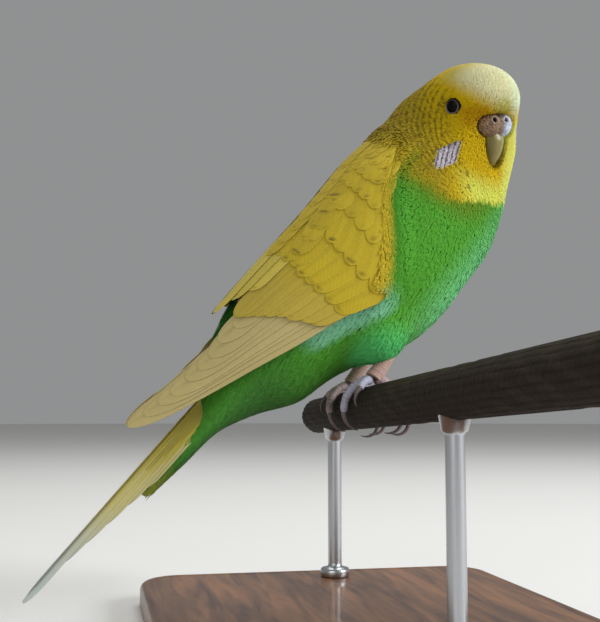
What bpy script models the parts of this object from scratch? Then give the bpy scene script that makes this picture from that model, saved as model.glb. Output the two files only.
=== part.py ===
"""Still, life-size model of a perched budgerigar, its cut perch and its display stand."""

import math

import bpy
import numpy as np

# All lengths below are in millimetres and are scaled to metres when a mesh is made.
# The grip frame has its origin on the perch's axis between the feet: +X is where the body
# faces, +Y is the bird's left and runs along the perch, and +Z is up.
MM = 0.001
PERCH_HEIGHT = 55.0
GAP = 0.3

# The body frame (s, y, n) is tilted up by BODY_TILT: s runs from tail to nape, n from belly to back.
BODY_TILT = 48.0
ALONG = np.array([math.cos(math.radians(BODY_TILT)), 0.0, math.sin(math.radians(BODY_TILT))])
DORSAL = np.array([-ALONG[2], 0.0, ALONG[0]])

# Cross-sections of the plumage outline: s, dorsal n, ventral n, half width.
SECTIONS = np.array([
    (-54.0, 30.4, 27.0, 2.6),
    (-42.0, 31.0, 26.0, 5.0),
    (-29.0, 31.8, 24.8, 7.2),
    (-20.0, 36.5, 20.8, 9.6),
    (-10.0, 41.0, 14.6, 12.6),
    (0.0, 43.6, 12.2, 15.4),
    (11.0, 44.8, 7.8, 17.8),
    (22.0, 45.2, 2.5, 19.2),
    (32.0, 45.4, 0.9, 19.6),
    (45.0, 45.8, 1.6, 19.2),
    (55.0, 46.6, 2.3, 17.8),
    (65.0, 47.5, 5.6, 15.2),
    (73.0, 47.5, 9.8, 12.4),
    (80.0, 44.0, 15.0, 10.4),
    (88.0, 36.0, 22.0, 6.0),
])
THIGH_CENTRE = (1.2, 10.0, 19.4)
THIGH_RADII = (7.6, 7.0, 7.2)

# Head, about the point midway between the eyes: forward, left, up.
HEAD_CENTRE = np.array([29.9, -8.0, 83.4])
HEAD_YAW, HEAD_PITCH, HEAD_ROLL = -70.0, -21.0, 8.0
HEAD_BLOBS = (  # centre, radii and how softly each joins the ones before
    ((-1.5, 0.0, -0.4), (11.9, 12.0, 10.7), 0.0),
    ((4.5, 0.0, 1.8), (8.2, 9.2, 7.8), 4.0),
    ((3.5, 4.4, -8.5), (6.6, 5.4, 7.4), 5.0),
    ((3.5, -4.4, -8.5), (6.6, 5.4, 7.4), 5.0),
    ((0.5, 0.0, -13.5), (8.4, 8.8, 9.0), 6.0),
)
HEAD_JOIN = 7.0
NECK_START, NECK_END = 58.0, 69.5

EYE_CENTRE = (3.8, 8.3, 0.0)
EYE_RADIUS = 3.1
CERE_CENTRE, CERE_RADII = (9.7, 0.0, -4.7), (2.7, 4.9, 3.1)
NOSTRIL = (12.2, 1.95, -2.9)
NOSTRIL_RADIUS = 0.75

# Wing: the folded wing lies on a shell round the body, read at s.
WING_SHELL = np.array([  # s, dorsal n, lower edge n, n where it is widest, half width there
    (-43.8, 44.8, 42.6, 42.4, 3.8),
    (-34.5, 46.0, 37.9, 37.7, 6.9),
    (-25.0, 45.9, 33.7, 33.5, 10.2),
    (-9.5, 45.6, 28.3, 28.0, 15.2),
    (6.0, 46.2, 23.2, 23.2, 18.8),
    (14.0, 46.5, 20.5, 21.0, 20.3),
    (23.0, 46.7, 17.6, 19.5, 21.2),
    (30.6, 46.9, 22.5, 19.5, 21.5),
    (36.4, 47.1, 27.5, 19.5, 21.4),
    (42.3, 47.5, 32.7, 20.0, 21.4),
    (49.3, 47.9, 37.4, 21.0, 20.9),
    (57.0, 48.2, 41.8, 22.5, 19.6),
    (61.0, 48.2, 44.6, 23.5, 18.8),
])
VANE_THICKNESS = 0.7

PERCH_RADIUS = 5.4
PERCH_POINT = np.array([0.0, -10.4, 1.0])
PERCH_SLOPE = -0.0443
PERCH_ENDS = (-140.0, 52.0)

BASE_X, BASE_Y, BASE_THICKNESS, BASE_CORNER = (-56.0, 48.0), (-88.0, 44.0), 7.0, 12.0
ROD_RADIUS = 2.0
ROD_Y = {"stand_rod_near": -70.0, "stand_rod_far": 30.0}


def unit(v):
    return np.asarray(v, float) / np.linalg.norm(v)


def smooth_curve(x, xs, ys):
    """Cubic through (xs, ys) with the slopes of its neighbours, held flat past its ends."""
    slopes = np.gradient(ys, xs)
    x = np.clip(x, xs[0], xs[-1])
    i = np.clip(np.searchsorted(xs, x) - 1, 0, len(xs) - 2)
    step = xs[i + 1] - xs[i]
    t = (x - xs[i]) / step
    near = (2 * t**3 - 3 * t**2 + 1) * ys[i] + (t**3 - 2 * t**2 + t) * step * slopes[i]
    return near + (3 * t**2 - 2 * t**3) * ys[i + 1] + (t**3 - t**2) * step * slopes[i + 1]


def body_to_grip(s, y, n):
    s, y, n = np.broadcast_arrays(s, y, n)
    return s[..., None] * ALONG + n[..., None] * DORSAL + y[..., None] * np.array([0.0, 1.0, 0.0])


def head_axes():
    yaw, pitch, roll = (math.radians(a) for a in (HEAD_YAW, HEAD_PITCH, HEAD_ROLL))
    forward = np.array([math.cos(pitch) * math.cos(yaw), math.cos(pitch) * math.sin(yaw), math.sin(pitch)])
    level = np.array([-math.sin(yaw), math.cos(yaw), 0.0])
    up = np.cross(forward, level)
    left = math.cos(roll) * level + math.sin(roll) * up
    return np.stack([forward, left, np.cross(forward, left)])


HEAD_AXES = head_axes()


def head_to_grip(points):
    return HEAD_CENTRE + np.asarray(points, float) @ HEAD_AXES


def blend(a, b, width):
    """Smooth minimum of two distances."""
    mix = np.clip(0.5 + 0.5 * (b - a) / width, 0.0, 1.0)
    return b * (1 - mix) + a * mix - width * mix * (1 - mix)


def ellipsoid(points, centre, radii):
    q = points - np.array(centre)
    radii = np.array(radii)
    near = np.linalg.norm(q / radii, axis=-1)
    return near * (near - 1) / np.maximum(np.linalg.norm(q / radii**2, axis=-1), 1e-6)


def body_distance(points):
    """Distance outside the plumage outline of torso, neck and head, in millimetres."""
    s, y, n = points @ ALONG, points[..., 1], points @ DORSAL
    top, low, width = (smooth_curve(s, SECTIONS[:, 0], SECTIONS[:, k]) for k in (1, 2, 3))
    flat = np.stack([np.zeros_like(y), y, n - (top + low) / 2], -1)
    radii = np.stack([np.ones_like(y), width, (top - low) / 2], -1)
    near = np.linalg.norm(flat / radii, axis=-1)
    outside = near * (near - 1) / np.maximum(np.linalg.norm(flat / radii**2, axis=-1), 1e-6)
    outside = np.maximum(outside, s - SECTIONS[-1, 0])
    for side in (-1, 1):
        outside = blend(outside, ellipsoid(points, np.multiply(THIGH_CENTRE, (1, side, 1)), THIGH_RADII), 5.0)
    local = (points - HEAD_CENTRE) @ HEAD_AXES.T
    head = None
    for centre, radii, softness in HEAD_BLOBS:
        blob = ellipsoid(local, centre, radii)
        head = blob if head is None else blend(head, blob, softness)
    return blend(outside, head, HEAD_JOIN)


def spine(s):
    """Middle of the body's section at s, leaning over to the head's centre at the top."""
    head = np.array([HEAD_CENTRE @ ALONG, HEAD_CENTRE[1], HEAD_CENTRE @ DORSAL])
    middle = smooth_curve(s, SECTIONS[:, 0], (SECTIONS[:, 1] + SECTIONS[:, 2]) / 2)
    lean = np.clip((s - 60.0) / (head[0] - 60.0), 0.0, 1.0) ** 2
    return body_to_grip(s, lean * head[1], middle + lean * (head[2] - middle))


def surface_along(origins, directions, inflate):
    """Where each ray leaves the body outline, found by stepping and halving."""
    far = np.full(directions.shape[:-1], 0.5)
    inside = np.ones(far.shape, bool)
    for _ in range(60):
        inside &= body_distance(origins + far[..., None] * directions) < inflate
        far = np.where(inside, far + 0.8, far)
    near = np.maximum(far - 0.8, 0.0)
    for _ in range(12):
        middle = (near + far) / 2
        out = body_distance(origins + middle[..., None] * directions) > inflate
        near, far = np.where(out, near, middle), np.where(out, middle, far)
    return origins + far[..., None] * directions


def body_rings(stations, around, inflate=0.0):
    """Planar rings of the body outline, square to the body's length, one for each s."""
    turn = np.linspace(0, 2 * math.pi, around, endpoint=False)
    rays = np.sin(turn)[:, None] * np.array([0.0, 1.0, 0.0]) + np.cos(turn)[:, None] * DORSAL
    centres = spine(np.asarray(stations, float))[:, None, :] + np.zeros((1, around, 1))
    rays = np.broadcast_to(rays, centres.shape)
    return surface_along(centres, rays, inflate)


def crown_rings(steps, around, inflate=0.0):
    """Rings that fan out from the head's centre over the crown, and the pole that ends them."""
    turn = np.linspace(0, 2 * math.pi, around, endpoint=False)
    side = np.sin(turn)[:, None] * np.array([0.0, 1.0, 0.0]) + np.cos(turn)[:, None] * DORSAL
    lift = np.arange(1, steps + 1)[:, None, None] / (steps + 1) * math.pi / 2
    rays = np.cos(lift) * side + np.sin(lift) * ALONG
    rings = surface_along(np.zeros_like(rays) + HEAD_CENTRE, rays, inflate)
    pole = surface_along(HEAD_CENTRE[None], ALONG[None], inflate)
    return rings, pole[0]


def ring_faces(count, around):
    row, column = np.mgrid[0:count - 1, 0:around]
    after = (column + 1) % around
    near, far = row * around, (row + 1) * around
    return np.stack([near + column, near + after, far + after, far + column], -1).reshape(-1, 4).tolist()


def ring_solid(rings, start=None, end=None):
    """Points and faces of a closed tube of rings, each end closed by a point or by a flat face."""
    count, around = rings.shape[:2]
    points = list(rings.reshape(-1, 3))
    faces = ring_faces(count, around)
    last = (count - 1) * around
    for pole, ring, flip in ((start, range(around), True), (end, range(last, last + around), False)):
        ring = list(ring)
        if pole is None:
            faces.append(ring[::-1] if flip else ring)
            continue
        points.append(pole)
        for a, b in zip(ring, ring[1:] + ring[:1]):
            faces.append([b, a, len(points) - 1] if flip else [a, b, len(points) - 1])
    return np.array(points), faces


def material(name, colour, roughness, metallic=0.0):
    made = bpy.data.materials.new(name)
    made.use_nodes = True
    shader = made.node_tree.nodes["Principled BSDF"]
    shader.inputs["Base Color"].default_value = (*colour, 1.0)
    shader.inputs["Roughness"].default_value = roughness
    shader.inputs["Metallic"].default_value = metallic
    return made


def solid(name, points, faces, look=None):
    """Object from points in the grip frame, its faces turned outwards."""
    points = (np.asarray(points) + np.array([0.0, 0.0, PERCH_HEIGHT])) * MM
    mesh = bpy.data.meshes.new(name)
    mesh.from_pydata(points.tolist(), [], faces)
    made = bpy.data.objects.new(name, mesh)
    bpy.context.scene.collection.objects.link(made)
    mesh.calc_loop_triangles()
    corners = np.array([[mesh.vertices[i].co for i in t.vertices] for t in mesh.loop_triangles])
    if np.linalg.det(corners - corners.mean((0, 1))).sum() < 0:
        mesh.flip_normals()
    if look:
        mesh.materials.append(look)
        mesh.shade_smooth()
        mesh.set_sharp_from_angle(angle=math.radians(40))
    return made


def combine(target, others, operation, solver="EXACT"):
    """Applies one Boolean of every other object to the target and removes them."""
    bpy.context.view_layer.objects.active = target
    for other in others:
        step = target.modifiers.new("step", "BOOLEAN")
        step.operation, step.solver, step.object = operation, solver, other
        bpy.ops.object.modifier_apply(modifier=step.name)
        bpy.data.objects.remove(other)
    return target


def keep_largest(target):
    """Leaves only the target's largest closed surface."""
    mesh = target.data
    parent = list(range(len(mesh.vertices)))

    def root(i):
        while parent[i] != i:
            parent[i] = parent[parent[i]]
            i = parent[i]
        return i

    for edge in mesh.edges:
        a, b = (root(i) for i in edge.vertices)
        parent[a] = b
    roots = np.array([root(i) for i in range(len(mesh.vertices))])
    points = np.array([v.co for v in mesh.vertices])
    spans = {r: np.ptp(points[roots == r], axis=0).prod() for r in set(roots)}
    best = max(spans, key=spans.get)
    keep = [p for p in mesh.polygons if roots[p.vertices[0]] == best]
    index = {i: k for k, i in enumerate(np.flatnonzero(roots == best))}
    faces = [[index[i] for i in p.vertices] for p in keep]
    looks = list(mesh.materials)
    fresh = bpy.data.meshes.new(mesh.name)
    fresh.from_pydata(points[roots == best].tolist(), [], faces)
    for look in looks:
        fresh.materials.append(look)
    target.data = fresh
    fresh.shade_smooth()
    fresh.set_sharp_from_angle(angle=math.radians(40))
    return target


def tube(path, across, up, widths, heights, around=8, turn=0.0):
    """Rings along a path, with half width towards across and half height towards up at each point."""
    angle = np.linspace(0, 2 * math.pi, around, endpoint=False) + turn
    path, across, up = (np.asarray(a, float)[:, None] for a in (path, across, up))
    widths, heights = (np.asarray(a, float)[:, None, None] for a in (widths, heights))
    return path + np.cos(angle)[:, None] * widths * across + np.sin(angle)[:, None] * heights * up


def vane(centres, across, outward, widths, thickness=VANE_THICKNESS, crown=0.25):
    """Closed feather vane: three columns on each face, the top one raised along the shaft."""
    centres, across, outward = (np.asarray(a, float) for a in (centres, across, outward))
    widths = np.asarray(widths, float)[:, None]
    top, low = [], []
    for column in (-1, 0, 1):
        base = centres + column * widths * across
        top.append(base + outward * (thickness / 2 + (crown if column == 0 else 0.0)))
        low.append(base - outward * (thickness / 2 - (crown if column == 0 else 0.0)))
    rows = len(centres)
    ring = [top[0], top[1], top[2], low[2], low[1], low[0]]
    points = np.stack(ring, 1).reshape(-1, 3)
    faces = []
    for r in range(rows - 1):
        for c in range(6):
            a, b = r * 6 + c, r * 6 + (c + 1) % 6
            if c in (3, 4):
                faces += [[a, b, a + 6], [b, b + 6, a + 6]]
            else:
                faces += [[a, b, b + 6], [a, b + 6, a + 6]]
    for first, flip in ((0, True), ((rows - 1) * 6, False)):
        for quad in ((0, 1, 4, 5), (1, 2, 3, 4)):
            face = [first + k for k in quad]
            faces.append(face[::-1] if flip else face)
    return points, faces


# Wing surface

def shell_point(s, fraction, lift, side):
    """Point of the folded wing: fraction 0 is the dorsal edge and 1 the lower edge."""
    s, fraction, lift = np.broadcast_arrays(*(np.asarray(a, float) for a in (s, fraction, lift)))
    top, low, middle, width = (smooth_curve(s, WING_SHELL[:, 0], WING_SHELL[:, k]) for k in (1, 2, 3, 4))
    height = top - middle
    drop = np.arccos(np.clip((low - middle) / height, -1, 1))
    first = np.arcsin(np.clip(1.5 / width, 0, 0.9))
    angle = first + fraction * (drop - first)
    y = side * (width * np.sin(angle))
    point = body_to_grip(s, y, middle + height * np.cos(angle))
    outward = body_to_grip(np.zeros_like(s), side * np.sin(angle) / width, np.cos(angle) / height)
    outward /= np.linalg.norm(outward, axis=-1, keepdims=True)
    return point + lift[..., None] * outward, outward


def wing_vane(root, tip, width, lift, side, rows=4, shape=(0.55, 1.0, 0.95, 0.3)):
    """Vane on the wing from root (s, fraction) to tip, lifted a little more at its tip."""
    t = np.linspace(0, 1, rows)
    s, fraction = (root[k] + (tip[k] - root[k]) * t for k in (0, 1))
    centres, outward = shell_point(s, fraction, lift[0] + (lift[1] - lift[0]) * t, side)
    along = np.gradient(centres, axis=0)
    across = np.cross(outward, along)
    across /= np.linalg.norm(across, axis=1, keepdims=True)
    return vane(centres, across, outward, width * np.array(shape))


PRIMARIES = 7
SECONDARIES = 6
TERTIALS = ((33.0, -8.0, 0.03), (30.0, -3.5, 0.14), (27.0, 1.0, 0.25))


def wing_feathers(side):
    """Every vane of one wing as points and faces, from the outer primary up to the scapulars."""
    vanes = []
    for k in range(PRIMARIES):
        root, tip = (20.0, 0.93 - 0.07 * k), (-43.5 + 5.2 * k, 0.67 - 0.06 * k)
        lift = (0.1 + 0.12 * k, 0.3 + 0.16 * k)
        vanes.append(wing_vane(root, tip, 3.4, lift, side, 5, (0.5, 1, 1, 0.9, 0.28)))
    for k in range(SECONDARIES):
        root, tip = (26.0, 0.92 - 0.10 * k), (7.0 - 2.6 * k, 0.86 - 0.09 * k)
        vanes.append(wing_vane(root, tip, 3.3, (0.5, 1.1 + 0.08 * k), side))
    for k, (start, end, fraction) in enumerate(TERTIALS[::-1]):
        tip = (end, fraction + 0.02)
        vanes.append(wing_vane((start, fraction + 0.06), tip, 3.6, (0.4, 1.1 + 0.2 * k), side))
    for k in range(7):
        fraction = 0.93 - 0.12 * k
        root, tip = (31.0 + 0.7 * k, fraction), (14.5 + 1.4 * k, fraction + 0.015)
        vanes.append(wing_vane(root, tip, 3.3, (0.4, 1.2), side, 3, (0.6, 1.0, 0.45)))
    for k in range(6):
        fraction = 0.88 - 0.13 * k
        root, tip = (41.0 + 0.6 * k, fraction), (27.5 + 1.0 * k, fraction + 0.01)
        vanes.append(wing_vane(root, tip, 3.3, (0.4, 1.3), side, 3, (0.6, 1.0, 0.5)))
    for k in range(4):
        root, tip = (56.0 - 8.0 * k, 0.16 + 0.02 * (k % 2)), (42.0 - 8.4 * k, 0.14 + 0.03 * (k % 2))
        vanes.append(wing_vane(root, tip, 3.6, (0.2, 1.1), side, 3, (0.6, 1.0, 0.5)))
    return vanes


def wing_core(side):
    """Slab of the folded wing from the body's surface out to the shell."""
    stations = np.array([-36.0, -28.0, -19.0, -9.0, 2.0, 13.0, 22.0, 30.0, 38.0, 46.0, 54.0, 60.0])
    fractions = np.linspace(0.0, 1.0, 7)
    inner = np.interp(stations, (-36.0, -19.0, 0.0, 60.0), (-0.9, -1.3, -3.5, -3.5))
    s, fraction = np.meshgrid(stations, fractions, indexing="ij")
    front = -0.1 * np.clip((s - 48.0) / 12.0, 0, 1) - 0.9 * np.clip((s - 22.0) / 10.0, 0, 1) * fraction**6
    outside, _ = shell_point(s, fraction, front, side)
    inside, _ = shell_point(s, fraction, np.broadcast_to(inner[:, None], s.shape), side)
    rings = np.concatenate([outside, inside[:, ::-1]], 1)
    return ring_solid(rings)


def make_wing(side, body, look):
    name = "wing_left" if side > 0 else "wing_right"
    wing = solid(name, *wing_core(side), look)
    pieces = [solid("vane", *piece) for piece in wing_feathers(side)]
    combine(wing, pieces, "UNION")
    return combine(wing, [body], "DIFFERENCE")


# Tail

TAIL_TIPS = (-92.0, -79.0, -73.0, -66.5, -60.0, -53.5)


def tail_feathers():
    """Twelve tail feathers as pairs, the long central pair on top and the outer ones lower and shorter."""
    vanes = []
    for k, tip in enumerate(TAIL_TIPS):
        for side in (-1, 1):
            t = np.linspace(0, 1, 5)
            s = -12.0 + (tip + 12.0) * t
            y = side * (0.9 + 1.05 * k * (1 - 0.45 * t))
            n = 34.0 - 1.15 * k * (1 - 0.3 * t) - 1.5 * t
            centres = body_to_grip(s, y, n)
            lean = side * (0.25 + 0.12 * k)
            outward = unit(body_to_grip(np.array(0.0), np.array(lean), np.array(1.0)))
            across = unit(np.cross(outward, ALONG))
            rows = np.ones((5, 1))
            widths = (2.0 + 0.15 * k) * np.array((0.9, 1.0, 1.0, 0.85, 0.3))
            vanes.append(vane(centres, rows * across, rows * outward, widths))
    return vanes


def make_tail(body, look):
    stations = np.array([-60.0, -48.0, -36.0, -24.0, -14.0])
    rings = tube(body_to_grip(stations, 0.0 * stations, np.interp(stations, (-60, -14), (31.2, 31.9))),
                 np.tile([0.0, 1.0, 0.0], (5, 1)), np.tile(DORSAL, (5, 1)),
                 (2.4, 3.4, 4.4, 5.2, 5.6), (1.0, 1.3, 1.6, 1.8, 1.9))
    tail = solid("tail", *ring_solid(rings), look)
    # The exact solver leaves open edges where the thin vanes graze each other.
    combine(tail, [solid("vane", *piece) for piece in tail_feathers()], "UNION", "MANIFOLD")
    return combine(tail, [body], "DIFFERENCE", "MANIFOLD")


# Head

def ball(name, centre, radii, inflate=0.0, around=16, rows=9, look=None):
    """Ellipsoid in head coordinates with its poles on the head's left and right."""
    polar = np.linspace(0, math.pi, rows + 2)[1:-1]
    turn = np.linspace(0, 2 * math.pi, around, endpoint=False)
    ring = np.stack([
        np.sin(polar)[:, None] * np.cos(turn),
        np.cos(polar)[:, None] * np.ones(around),
        np.sin(polar)[:, None] * np.sin(turn),
    ], -1)
    radii = np.array(radii) + inflate
    pole = np.array([0.0, 1.0, 0.0])
    rings = head_to_grip(centre + ring * radii)
    ends = (head_to_grip(centre + pole * radii), head_to_grip(centre - pole * radii))
    points, faces = ring_solid(rings, *ends)
    return solid(name, points, faces, look)


BILL_PATH = ((5.0, -6.2), (8.4, -6.6), (10.0, -8.2), (10.4, -10.8), (10.1, -13.2), (9.5, -15.0), (8.7, -16.6))
BILL_WIDTHS = (2.5, 2.9, 3.0, 2.7, 2.0, 1.3, 0.4)
BILL_HEIGHTS = (1.9, 2.1, 2.1, 1.9, 1.5, 1.1, 0.35)
LOWER_PATH = ((3.6, -11.0), (5.8, -12.0), (7.2, -13.2), (7.7, -14.3))
LOWER_WIDTHS, LOWER_HEIGHTS = (2.5, 2.4, 1.8, 0.8), (1.4, 1.3, 1.0, 0.5)


def bill(name, path, widths, heights, inflate=0.0, look=None):
    """Half of the bill: a tube that follows a path in the head's middle plane."""
    path = np.array(path)
    centres = np.stack([path[:, 0], np.zeros(len(path)), path[:, 1]], -1)
    along = np.gradient(centres, axis=0)
    along /= np.linalg.norm(along, axis=1, keepdims=True)
    if inflate:
        centres = np.concatenate([centres, centres[-1:] + along[-1] * inflate])
        along = np.concatenate([along, along[-1:]])
        widths, heights = (*widths, widths[-1] * 0.6), (*heights, heights[-1] * 0.6)
    across = np.tile([0.0, 1.0, 0.0], (len(centres), 1))
    up = np.cross(along, across)
    rings = tube(centres, across, up, np.add(widths, inflate), np.add(heights, inflate), 10)
    return solid(name, *ring_solid(head_to_grip(rings)), look)


def eye_lid(side):
    """Rounded rim round the eye, as a ring of eight-sided sections."""
    axis = unit((0.34, 0.94 * side, 0.0))
    first = unit(np.cross(axis, (0.0, 0.0, 1.0)))
    second = np.cross(axis, first)
    turn = np.linspace(0, 2 * math.pi, 16, endpoint=False)
    out = np.cos(turn)[:, None] * first + np.sin(turn)[:, None] * second
    middle = np.array(EYE_CENTRE) * (1, side, 1) + axis * 1.9 + out * 2.7
    section = np.linspace(0, 2 * math.pi, 6, endpoint=False)
    spokes = np.cos(section)[:, None] * out[:, None] + np.sin(section)[:, None] * axis
    rings = middle[:, None] + 0.75 * spokes
    faces = []
    for r in range(16):
        for c in range(6):
            a, b = r * 6 + c, r * 6 + (c + 1) % 6
            after = (a + 6) % 96, (b + 6) % 96
            faces.append([a, b, after[1], after[0]])
    return solid("lid", head_to_grip(rings).reshape(-1, 3), faces)


def bill_room():
    """Both halves of the bill and the cere, GAP larger, to be cut from head and neck."""
    return [
        bill("cut", BILL_PATH, BILL_WIDTHS, BILL_HEIGHTS, GAP),
        bill("cut", LOWER_PATH, LOWER_WIDTHS, LOWER_HEIGHTS, GAP),
        ball("cut", np.array(CERE_CENTRE), CERE_RADII, GAP, 14, 8),
    ]


def make_head(look_head, look_eye, look_cere, look_bill):
    level = np.linspace(NECK_END + GAP, HEAD_CENTRE @ ALONG, 5)
    top, pole = crown_rings(8, 28)
    rings = np.concatenate([body_rings(level, 28), top])
    head = solid("head", *ring_solid(rings, None, pole), look_head)
    # The exact solver misses some of the head's cuts, so the head uses the manifold one.
    for side in (-1, 1):
        centre = np.multiply(EYE_CENTRE, (1, side, 1))
        orbit = ball("orbit", centre + unit((0.34, 0.94 * side, 0.0)) * 3.2, (3.2, 2.6, 3.2))
        combine(head, [orbit], "DIFFERENCE", "MANIFOLD")
        combine(head, [eye_lid(side)], "UNION", "MANIFOLD")
        ball("eye_left" if side > 0 else "eye_right", centre, [EYE_RADIUS] * 3, 0, 14, 8, look_eye)
        socket = ball("socket", centre, [EYE_RADIUS] * 3, GAP)
        combine(head, [socket], "DIFFERENCE", "MANIFOLD")
    upper = bill("bill_upper", BILL_PATH, BILL_WIDTHS, BILL_HEIGHTS, 0.0, look_bill)
    lower = bill("bill_lower", LOWER_PATH, LOWER_WIDTHS, LOWER_HEIGHTS, 0.0, look_bill)
    cere = ball("cere", np.array(CERE_CENTRE), CERE_RADII, 0.0, 14, 8, look_cere)
    for side in (-1, 1):
        hole = np.multiply(NOSTRIL, (1, side, 1))
        combine(cere, [ball("nostril", hole, (1.6, NOSTRIL_RADIUS, NOSTRIL_RADIUS), 0.0, 8, 4)], "DIFFERENCE")
    combine(cere, [bill("cut", BILL_PATH, BILL_WIDTHS, BILL_HEIGHTS, GAP)], "DIFFERENCE")
    combine(lower, [bill("cut", BILL_PATH, BILL_WIDTHS, BILL_HEIGHTS, GAP)], "DIFFERENCE")
    combine(head, bill_room(), "DIFFERENCE", "MANIFOLD")
    for piece in (head, cere, lower):
        keep_largest(piece)


def make_body(look):
    """Torso and neck between their planar parting cuts, with the bill's hollow cut from the neck."""
    stations = [*SECTIONS[:11, 0], NECK_START]
    rings = body_rings(np.array(sorted({float(s) for s in stations} | {-36.0, 6.0, 16.0, 38.0, 50.0})), 28)
    torso = solid("torso", *ring_solid(rings), look)
    rings = body_rings(np.linspace(NECK_START + GAP, NECK_END, 4), 28)
    neck = solid("neck", *ring_solid(rings), look)
    return torso, neck


# Legs

def round_perch(angle, radius, y):
    """Point at this angle from the perch's top, positive towards the tail, at y along the perch."""
    angle = np.radians(angle)
    centre = PERCH_POINT[2] + PERCH_SLOPE * (np.asarray(y) - PERCH_POINT[1])
    return np.stack([-radius * np.sin(angle), y + 0 * angle, centre + radius * np.cos(angle)], -1)


TOES = (  # start angle, end angle, drift along the perch, toe radius, claw's reach and how far it stands off
    (6.0, 100.0, -3.4, 1.2, 58.0, 0.45),
    (6.0, 50.0, 6.5, 1.15, 45.0, 0.4),
    (-8.0, -92.0, -3.0, 1.3, 58.0, 3.2),
    (-10.0, -96.0, 2.8, 1.3, 58.0, 3.4),
)
FEET_Y = {"leg_right": -11.0, "leg_left": 11.0}


def toe(foot_y, side, start, end, drift, radius, reach, hang):
    """One toe round the perch, its last stretch a claw that thins to its tip."""
    t = np.linspace(0, 1, 6)
    claw = np.linspace(0, 1, 5)[1:]
    outer = PERCH_RADIUS + GAP + 0.1
    angle = np.concatenate([start + (end - start) * t, end + math.copysign(reach, end - start) * claw])
    thick = np.concatenate([radius * (1.0 - 0.25 * t), radius * np.array((0.62, 0.5, 0.36, 0.2))])
    stand_off = hang * np.sin(math.pi * claw * 0.85) + 0.1
    lift = np.concatenate([outer + thick[:6], outer + thick[6:] + stand_off])
    y = foot_y + side * drift * np.concatenate([t, 1 + 0.25 * claw])
    centres = round_perch(angle, lift, y)
    along = np.gradient(centres, axis=0)
    along /= np.linalg.norm(along, axis=1, keepdims=True)
    up = centres - round_perch(angle, 0.0, y)
    across = np.cross(along, up)
    across /= np.linalg.norm(across, axis=1, keepdims=True)
    return ring_solid(tube(centres, across, np.cross(across, along), thick, thick, 8))


def make_leg(name, foot_y, look):
    side = 1 if foot_y > 0 else -1
    foot_z = round_perch(0.0, PERCH_RADIUS + GAP + 1.6, foot_y)[2]
    path = np.array([(5.2, foot_y * 0.92, 17.0), (2.6, foot_y * 0.97, 11.5), (0.2, foot_y, foot_z)])
    flat, fore = np.tile([0.0, 1.0, 0.0], (3, 1)), np.tile([1.0, 0.0, 0.0], (3, 1))
    leg = solid(name, *ring_solid(tube(path, flat, fore, (2.4, 1.9, 2.0), (2.6, 1.9, 2.4), 10)), look)
    combine(leg, [solid("toe", *toe(foot_y, side, *values)) for values in TOES], "UNION")
    return leg


def leg_room(foot_y):
    """The leg's upper length, a little wider, to be cut from the body."""
    path = np.array([
        (5.6, foot_y * 0.915, 17.0 + GAP + 0.8), (5.2, foot_y * 0.92, 17.0),
        (2.6, foot_y * 0.97, 11.5), (0.2, foot_y, 7.0),
    ])
    flat, fore = np.tile([0.0, 1.0, 0.0], (4, 1)), np.tile([1.0, 0.0, 0.0], (4, 1))
    widths, heights = np.array((2.4, 2.4, 1.9, 2.0)) + 1.4 * GAP, np.array((2.6, 2.6, 1.9, 2.4)) + 1.4 * GAP
    return solid("room", *ring_solid(tube(path, flat, fore, widths, heights, 10)))


# Perch and stand

def perch_solid(name, radius, look=None):
    """The cut length of perch, ribbed along its length."""
    turn = np.linspace(0, 2 * math.pi, 32, endpoint=False)
    rib = radius - 0.12 * (np.arange(32) % 2)
    rings = []
    for y in PERCH_ENDS:
        centre = np.array([0.0, y, PERCH_POINT[2] + PERCH_SLOPE * (y - PERCH_POINT[1])])
        spokes = np.cos(turn)[:, None] * (1, 0, 0) + np.sin(turn)[:, None] * (0, 0, 1)
        rings.append(centre + rib[:, None] * spokes)
    return solid(name, *ring_solid(np.array(rings)), look)


def make_stand(look_wood, look_steel):
    corners = []
    for cx, cy, first in ((1, 1, 0), (0, 1, 90), (0, 0, 180), (1, 0, 270)):
        x = BASE_X[cx] + (-BASE_CORNER if cx else BASE_CORNER)
        y = BASE_Y[cy] + (-BASE_CORNER if cy else BASE_CORNER)
        for angle in np.radians(first + np.linspace(0, 90, 6)):
            corners.append((x, y, math.cos(angle), math.sin(angle)))
    corners = np.array(corners)
    rings = []
    for z, inset in ((0.0, 1.0), (1.0, 0.0), (BASE_THICKNESS - 1.6, 0.0), (BASE_THICKNESS, 1.6)):
        flat = corners[:, :2] + corners[:, 2:] * (BASE_CORNER - inset)
        rings.append(np.column_stack([flat, np.full(len(flat), z - PERCH_HEIGHT)]))
    solid("stand_base", *ring_solid(np.array(rings)), look_wood)
    for name, y in ROD_Y.items():
        turn = np.linspace(0, 2 * math.pi, 20, endpoint=False)
        circle = np.column_stack([np.cos(turn), np.sin(turn), 0 * turn]) * ROD_RADIUS + (0, y, 0)
        low, high = BASE_THICKNESS - PERCH_HEIGHT + GAP, 0.0
        rings = np.array([circle + (0, 0, low), circle + (0, 0, high)])
        rod = solid(name, *ring_solid(rings), look_steel)
        combine(rod, [perch_solid("cut", PERCH_RADIUS + GAP)], "DIFFERENCE")
        keep_largest(rod)


def inflated_body(around=40):
    """The whole body outline, GAP larger, to cut wings and tail clear of it."""
    stations = np.concatenate([[SECTIONS[0, 0] - GAP], np.linspace(-52, 60, 36), [66.0, 72.0, 78.0]])
    return solid("cut", *ring_solid(body_rings(stations, around, GAP + 0.1)))


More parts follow.
